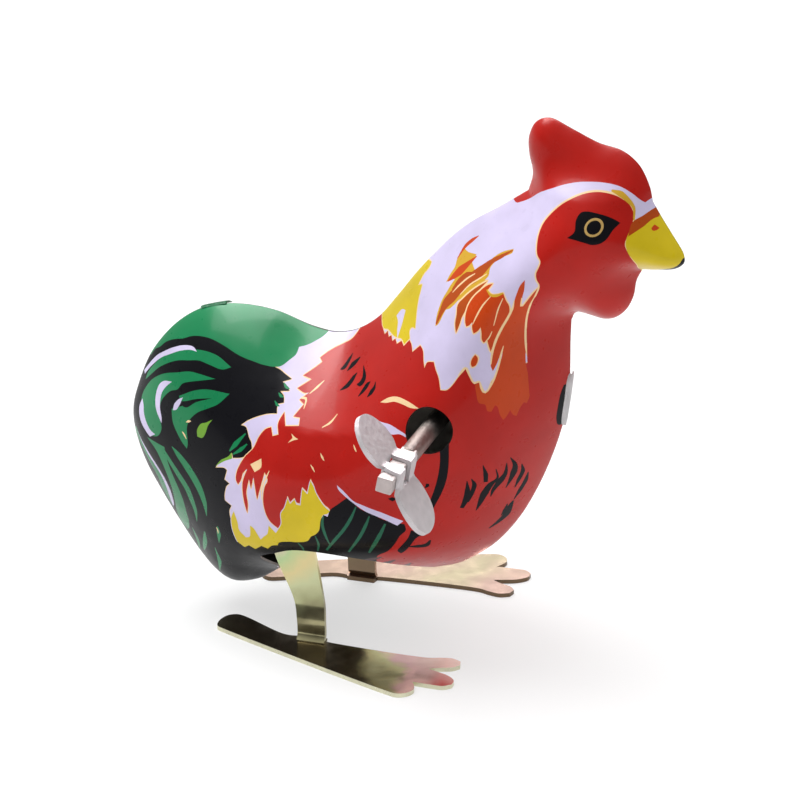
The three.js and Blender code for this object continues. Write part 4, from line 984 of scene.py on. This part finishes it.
# ---- legs ----
LEG_AXLE = (-14.6, 20.0)
LEG_IN = 11.4
LEG_SHEET = 0.8
FOOT_SHEET = 0.7
JOGGLE_TOP = 7                # the strip steps outward below this height
JOGGLE_HEIGHT = 3.6
JOGGLE_DEPTH = 0.85
FLARE_TOP = 1.9               # and flares below this height
FLARE_RATE = 0.42
RIM_SLOPE = 0.6               # faces of the foot steeper than this are its cut edge
FOOT = [(-27, 11.4), (-26.9, 9.6), (-26.2, 8.1), (-25, 7.5), (-23.6, 7.9), (-16.2, 12), (-14.6, 12.35),
        (-13.3, 12.2), (-13.05, 11.75), (-8.55, 11.75), (-8.3, 12.9), (-7, 13.1), (8.6, 13.6), (10.5, 13),
        (12.4, 12.7), (13.9, 13.4), (14.2, 14.7), (13.3, 15.8), (11.6, 16.5), (9.9, 17.4), (11.6, 18),
        (13.5, 18.8), (14.9, 20.2), (15, 21.6), (13.9, 22.6), (12, 22.7), (8.9, 22.6), (9.6, 23.8),
        (9.9, 25.2), (9.2, 26.6), (7.8, 27.3), (6.2, 26.9), (-25.4, 13.3), (-26.6, 12.6)]
LEG = [(-17.4, 20.2), (-16.8, 22), (-14.9, 22.9), (-12.8, 22.2), (-11.6, 20.2), (-10.4, 15), (-9.1, 7.5),
       (-8.6, 4), (-8.5, 0.6), (-13.05, 0.6), (-13.2, 4), (-14.1, 7.5), (-17.2, 15)]


def joggle(x, z):
    """How far the strip stands out: it steps outward above the foot and flares into it."""
    step_out = min(1.0, max(0.0, (JOGGLE_TOP - z) / JOGGLE_HEIGHT))
    flare = max(0.0, FLARE_TOP - z)
    return JOGGLE_DEPTH * step_out * step_out * (3 - 2 * step_out) + FLARE_RATE * flare * flare


def leg(side, name, node_name):
    foot = sheet(inked(FOOT, 0.4, 50), FOOT_SHEET, bevel=0.16, step=2.5)
    foot_matrix = Matrix(((1, 0, 0, 0), (0, side, 0, 0), (0, 0, 1, FOOT_SHEET), (0, 0, 0, 1)))
    foot_obj = place(foot, name + "_foot", foot_matrix, FOOT_ZINC_AND_REFLECTION[side])
    strip = sheet(inked(LEG, 0.4, 50), LEG_SHEET, bevel=0.12, step=0.3,
                  holes=[circle(*LEG_AXLE, 1.3, 24)], lift=joggle)
    # the sheet's x, y become x, z, and its thickness runs away from the seam
    stand = side * (LEG_IN + LEG_SHEET)
    strip_matrix = Matrix(((1, 0, 0, 0), (0, 0, side, stand), (0, 1, 0, 0), (0, 0, 0, 1)))
    strip_obj = place(strip, name + "_strip", strip_matrix, STRIP_ZINC_AND_SHADE[side])
    foot_obj.data.materials.append(ZINC_EDGE_AND_SHADE[side])
    for face in foot_obj.data.polygons:
        if abs(face.normal.z) < RIM_SLOPE:
            face.material_index = 1
    for obj in (foot_obj, strip_obj):
        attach(obj, "leg_set")
    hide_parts(node_name)


leg(RIGHT, "right", "leg_right")
leg(LEFT, "left", "leg_left")


# ---- tabs bent over the seam ----
TAB_STEP = 0.25               # spacing along a tab
TAB_SHEET = 0.3
TAB_POINTS = 18               # points across a tab


def seam_tab(name, at, tangent, length, finish, toward, taper, rise=1.0, reach=2.9):
    """A tab bent over the seam towards one side; taper is the share of its width left at its ends."""
    mesh = bmesh.new()
    rows = []
    count = int(length / TAB_STEP)
    for k in range(count + 1):
        t = 2 * k / count - 1
        full = taper + (1 - taper) * (1 - t * t) ** 0.6
        section = [(1.2 * rise, 0.05), (0.7 * rise, 0.4 * rise), (0.1, rise * (0.55 + 0.15 * full)),
                   (-0.7 * full - 0.1, 0.45 * rise), (-0.6 * reach * full, -0.1),
                   (-reach * full - 0.05, -0.9 * full)]
        outer = np.vstack([spline(section, 0.25 + 0.1 * full), section[-1]])
        spots = np.linspace(0, len(outer) - 1, TAB_POINTS)
        numbers = np.arange(len(outer))
        outer = np.column_stack([np.interp(spots, numbers, outer[:, i]) for i in range(2)])
        rows.append([mesh.verts.new((-toward * y, h, t * length / 2)) for y, h in outer])
    for a, b in zip(rows, rows[1:]):
        for i in range(len(a) - 1):
            mesh.faces.new([a[i], a[i + 1], b[i + 1], b[i]])
    bmesh.ops.solidify(mesh, geom=mesh.faces[:], thickness=TAB_SHEET)
    bmesh.ops.recalc_face_normals(mesh, faces=mesh.faces)
    round_rims(mesh, 0.07, 2)
    run = Vector((tangent[0], 0, tangent[1])).normalized()
    across = Vector((0, 1, 0))
    up = run.cross(across)
    matrix = Matrix((across, up, run)).transposed().to_4x4()
    matrix.translation = (at[0], 0, at[1])
    obj = place(mesh, name, matrix, finish)
    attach(obj, "chicken_body")
    return obj


seam_tab("breast_tab", (26.65, 41.4), (-0.13, -1), 8.8, TAB_TIN_PAINTED_SHEEN, RIGHT, 0.12, reach=2.0)
seam_tab("tail_tab", (-31, 50), (1, 0.3), 4.4, INK["green"], LEFT, 0.8, rise=0.3)

# ---- finishes of the clockwork ----
FINISHES = {
    STEEL: ["frame_plate_right", "frame_plate_left", "frame_pillar_front", "frame_pillar_top",
            "frame_pillar_rear", "frame_pillar_lower", "frame_strap_lower", "frame_strap_upper",
            "second_shaft", "cam_shaft", "leg_axle", "axle_spacer_right", "axle_spacer_left",
            "hop_lever", "click_rivet", "click_pawl"],
    BRASS: ["ratchet_wheel", "great_wheel", "second_pinion", "second_wheel", "cam_pinion", "hop_cam"],
    BLUED: ["mainspring", "click_spring", "return_spring"],
}
for finish, names in FINISHES.items():
    for name in names:
        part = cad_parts[name]
        for slot in part.material_slots:
            slot.material = finish
        if not part.material_slots:
            part.data.materials.append(finish)

# ---- floor, light and camera, in metres ----
FLOOR_SIZE = 6
FLOOR_GREY = (0.35, 0.35, 0.35)
FLOOR_GLOW = 0.6
LENS = 225
CAMERA_AT = (0.2202, -0.68025, 0.3372)
LOOK_AT = (-0.00033, SEAM_Y * MM, 0.03775)

bpy.ops.mesh.primitive_plane_add(size=FLOOR_SIZE, location=(0, 0, 0))
floor = bpy.context.object
floor.name = "floor"
floor_finish, _, floor_shader = material("floor_paper", FLOOR_GREY, roughness=0.8)
floor_shader.inputs["Emission Color"].default_value = (1, 1, 1, 1)
floor_shader.inputs["Emission Strength"].default_value = FLOOR_GLOW
floor.data.materials.append(floor_finish)

# a bright ceiling and backdrop, and a dark room behind the camera
CEILING = Vector((-0.22, 0.42, 0.88)).normalized()
world = bpy.data.worlds.new("studio")
bpy.context.scene.world = world
world.use_nodes = True
sky = world.node_tree
sky.nodes["Background"].inputs["Color"].default_value = (1, 1, 1, 1)
heading = sky.nodes.new("ShaderNodeTexCoord")
facing = sky.nodes.new("ShaderNodeVectorMath")
facing.operation = "DOT_PRODUCT"
facing.inputs[1].default_value = CEILING
sky.links.new(heading.outputs["Generated"], facing.inputs[0])
glow = span(sky, facing.outputs["Value"], -0.1, 0.85, 0.2, 0.8)
sky.links.new(glow, sky.nodes["Background"].inputs["Strength"])


def soft_light(name, at, target, size, power, in_reflections=True, in_shade=True):
    light = bpy.data.lights.new(name, "AREA")
    light.shape = "RECTANGLE"
    light.size, light.size_y = size
    light.energy = power
    obj = bpy.data.objects.new(name, light)
    obj.location = at
    obj.visible_glossy = in_reflections
    obj.visible_diffuse = in_shade
    obj.rotation_euler = (Vector(target) - Vector(at)).to_track_quat("-Z", "Y").to_euler()
    bpy.context.scene.collection.objects.link(obj)


soft_light("overhead_soft", (-0.35, 0.1, 0.95), (0, 0, 0.03), (0.7, 0.7), 8.5)
soft_light("front_fill", (0.1, -1.2, 0.4), (0, 0, 0.04), (1.0, 0.8), 2.9, in_reflections=False)
soft_light("rear_shine", (-0.12, 0.42, 0.92), (0, 0, 0.04), (1.2, 0.9), 30, in_shade=False)

camera = bpy.data.cameras.new("camera")
camera.lens = LENS
camera.sensor_width = 36
camera.clip_end = 20
camera_obj = bpy.data.objects.new("camera", camera)
camera_obj.location = CAMERA_AT
look = Vector(LOOK_AT) - camera_obj.location
camera_obj.rotation_euler = look.to_track_quat("-Z", "Y").to_euler()
bpy.context.scene.collection.objects.link(camera_obj)
bpy.context.scene.camera = camera_obj
bpy.context.scene.view_settings.view_transform = "Standard"
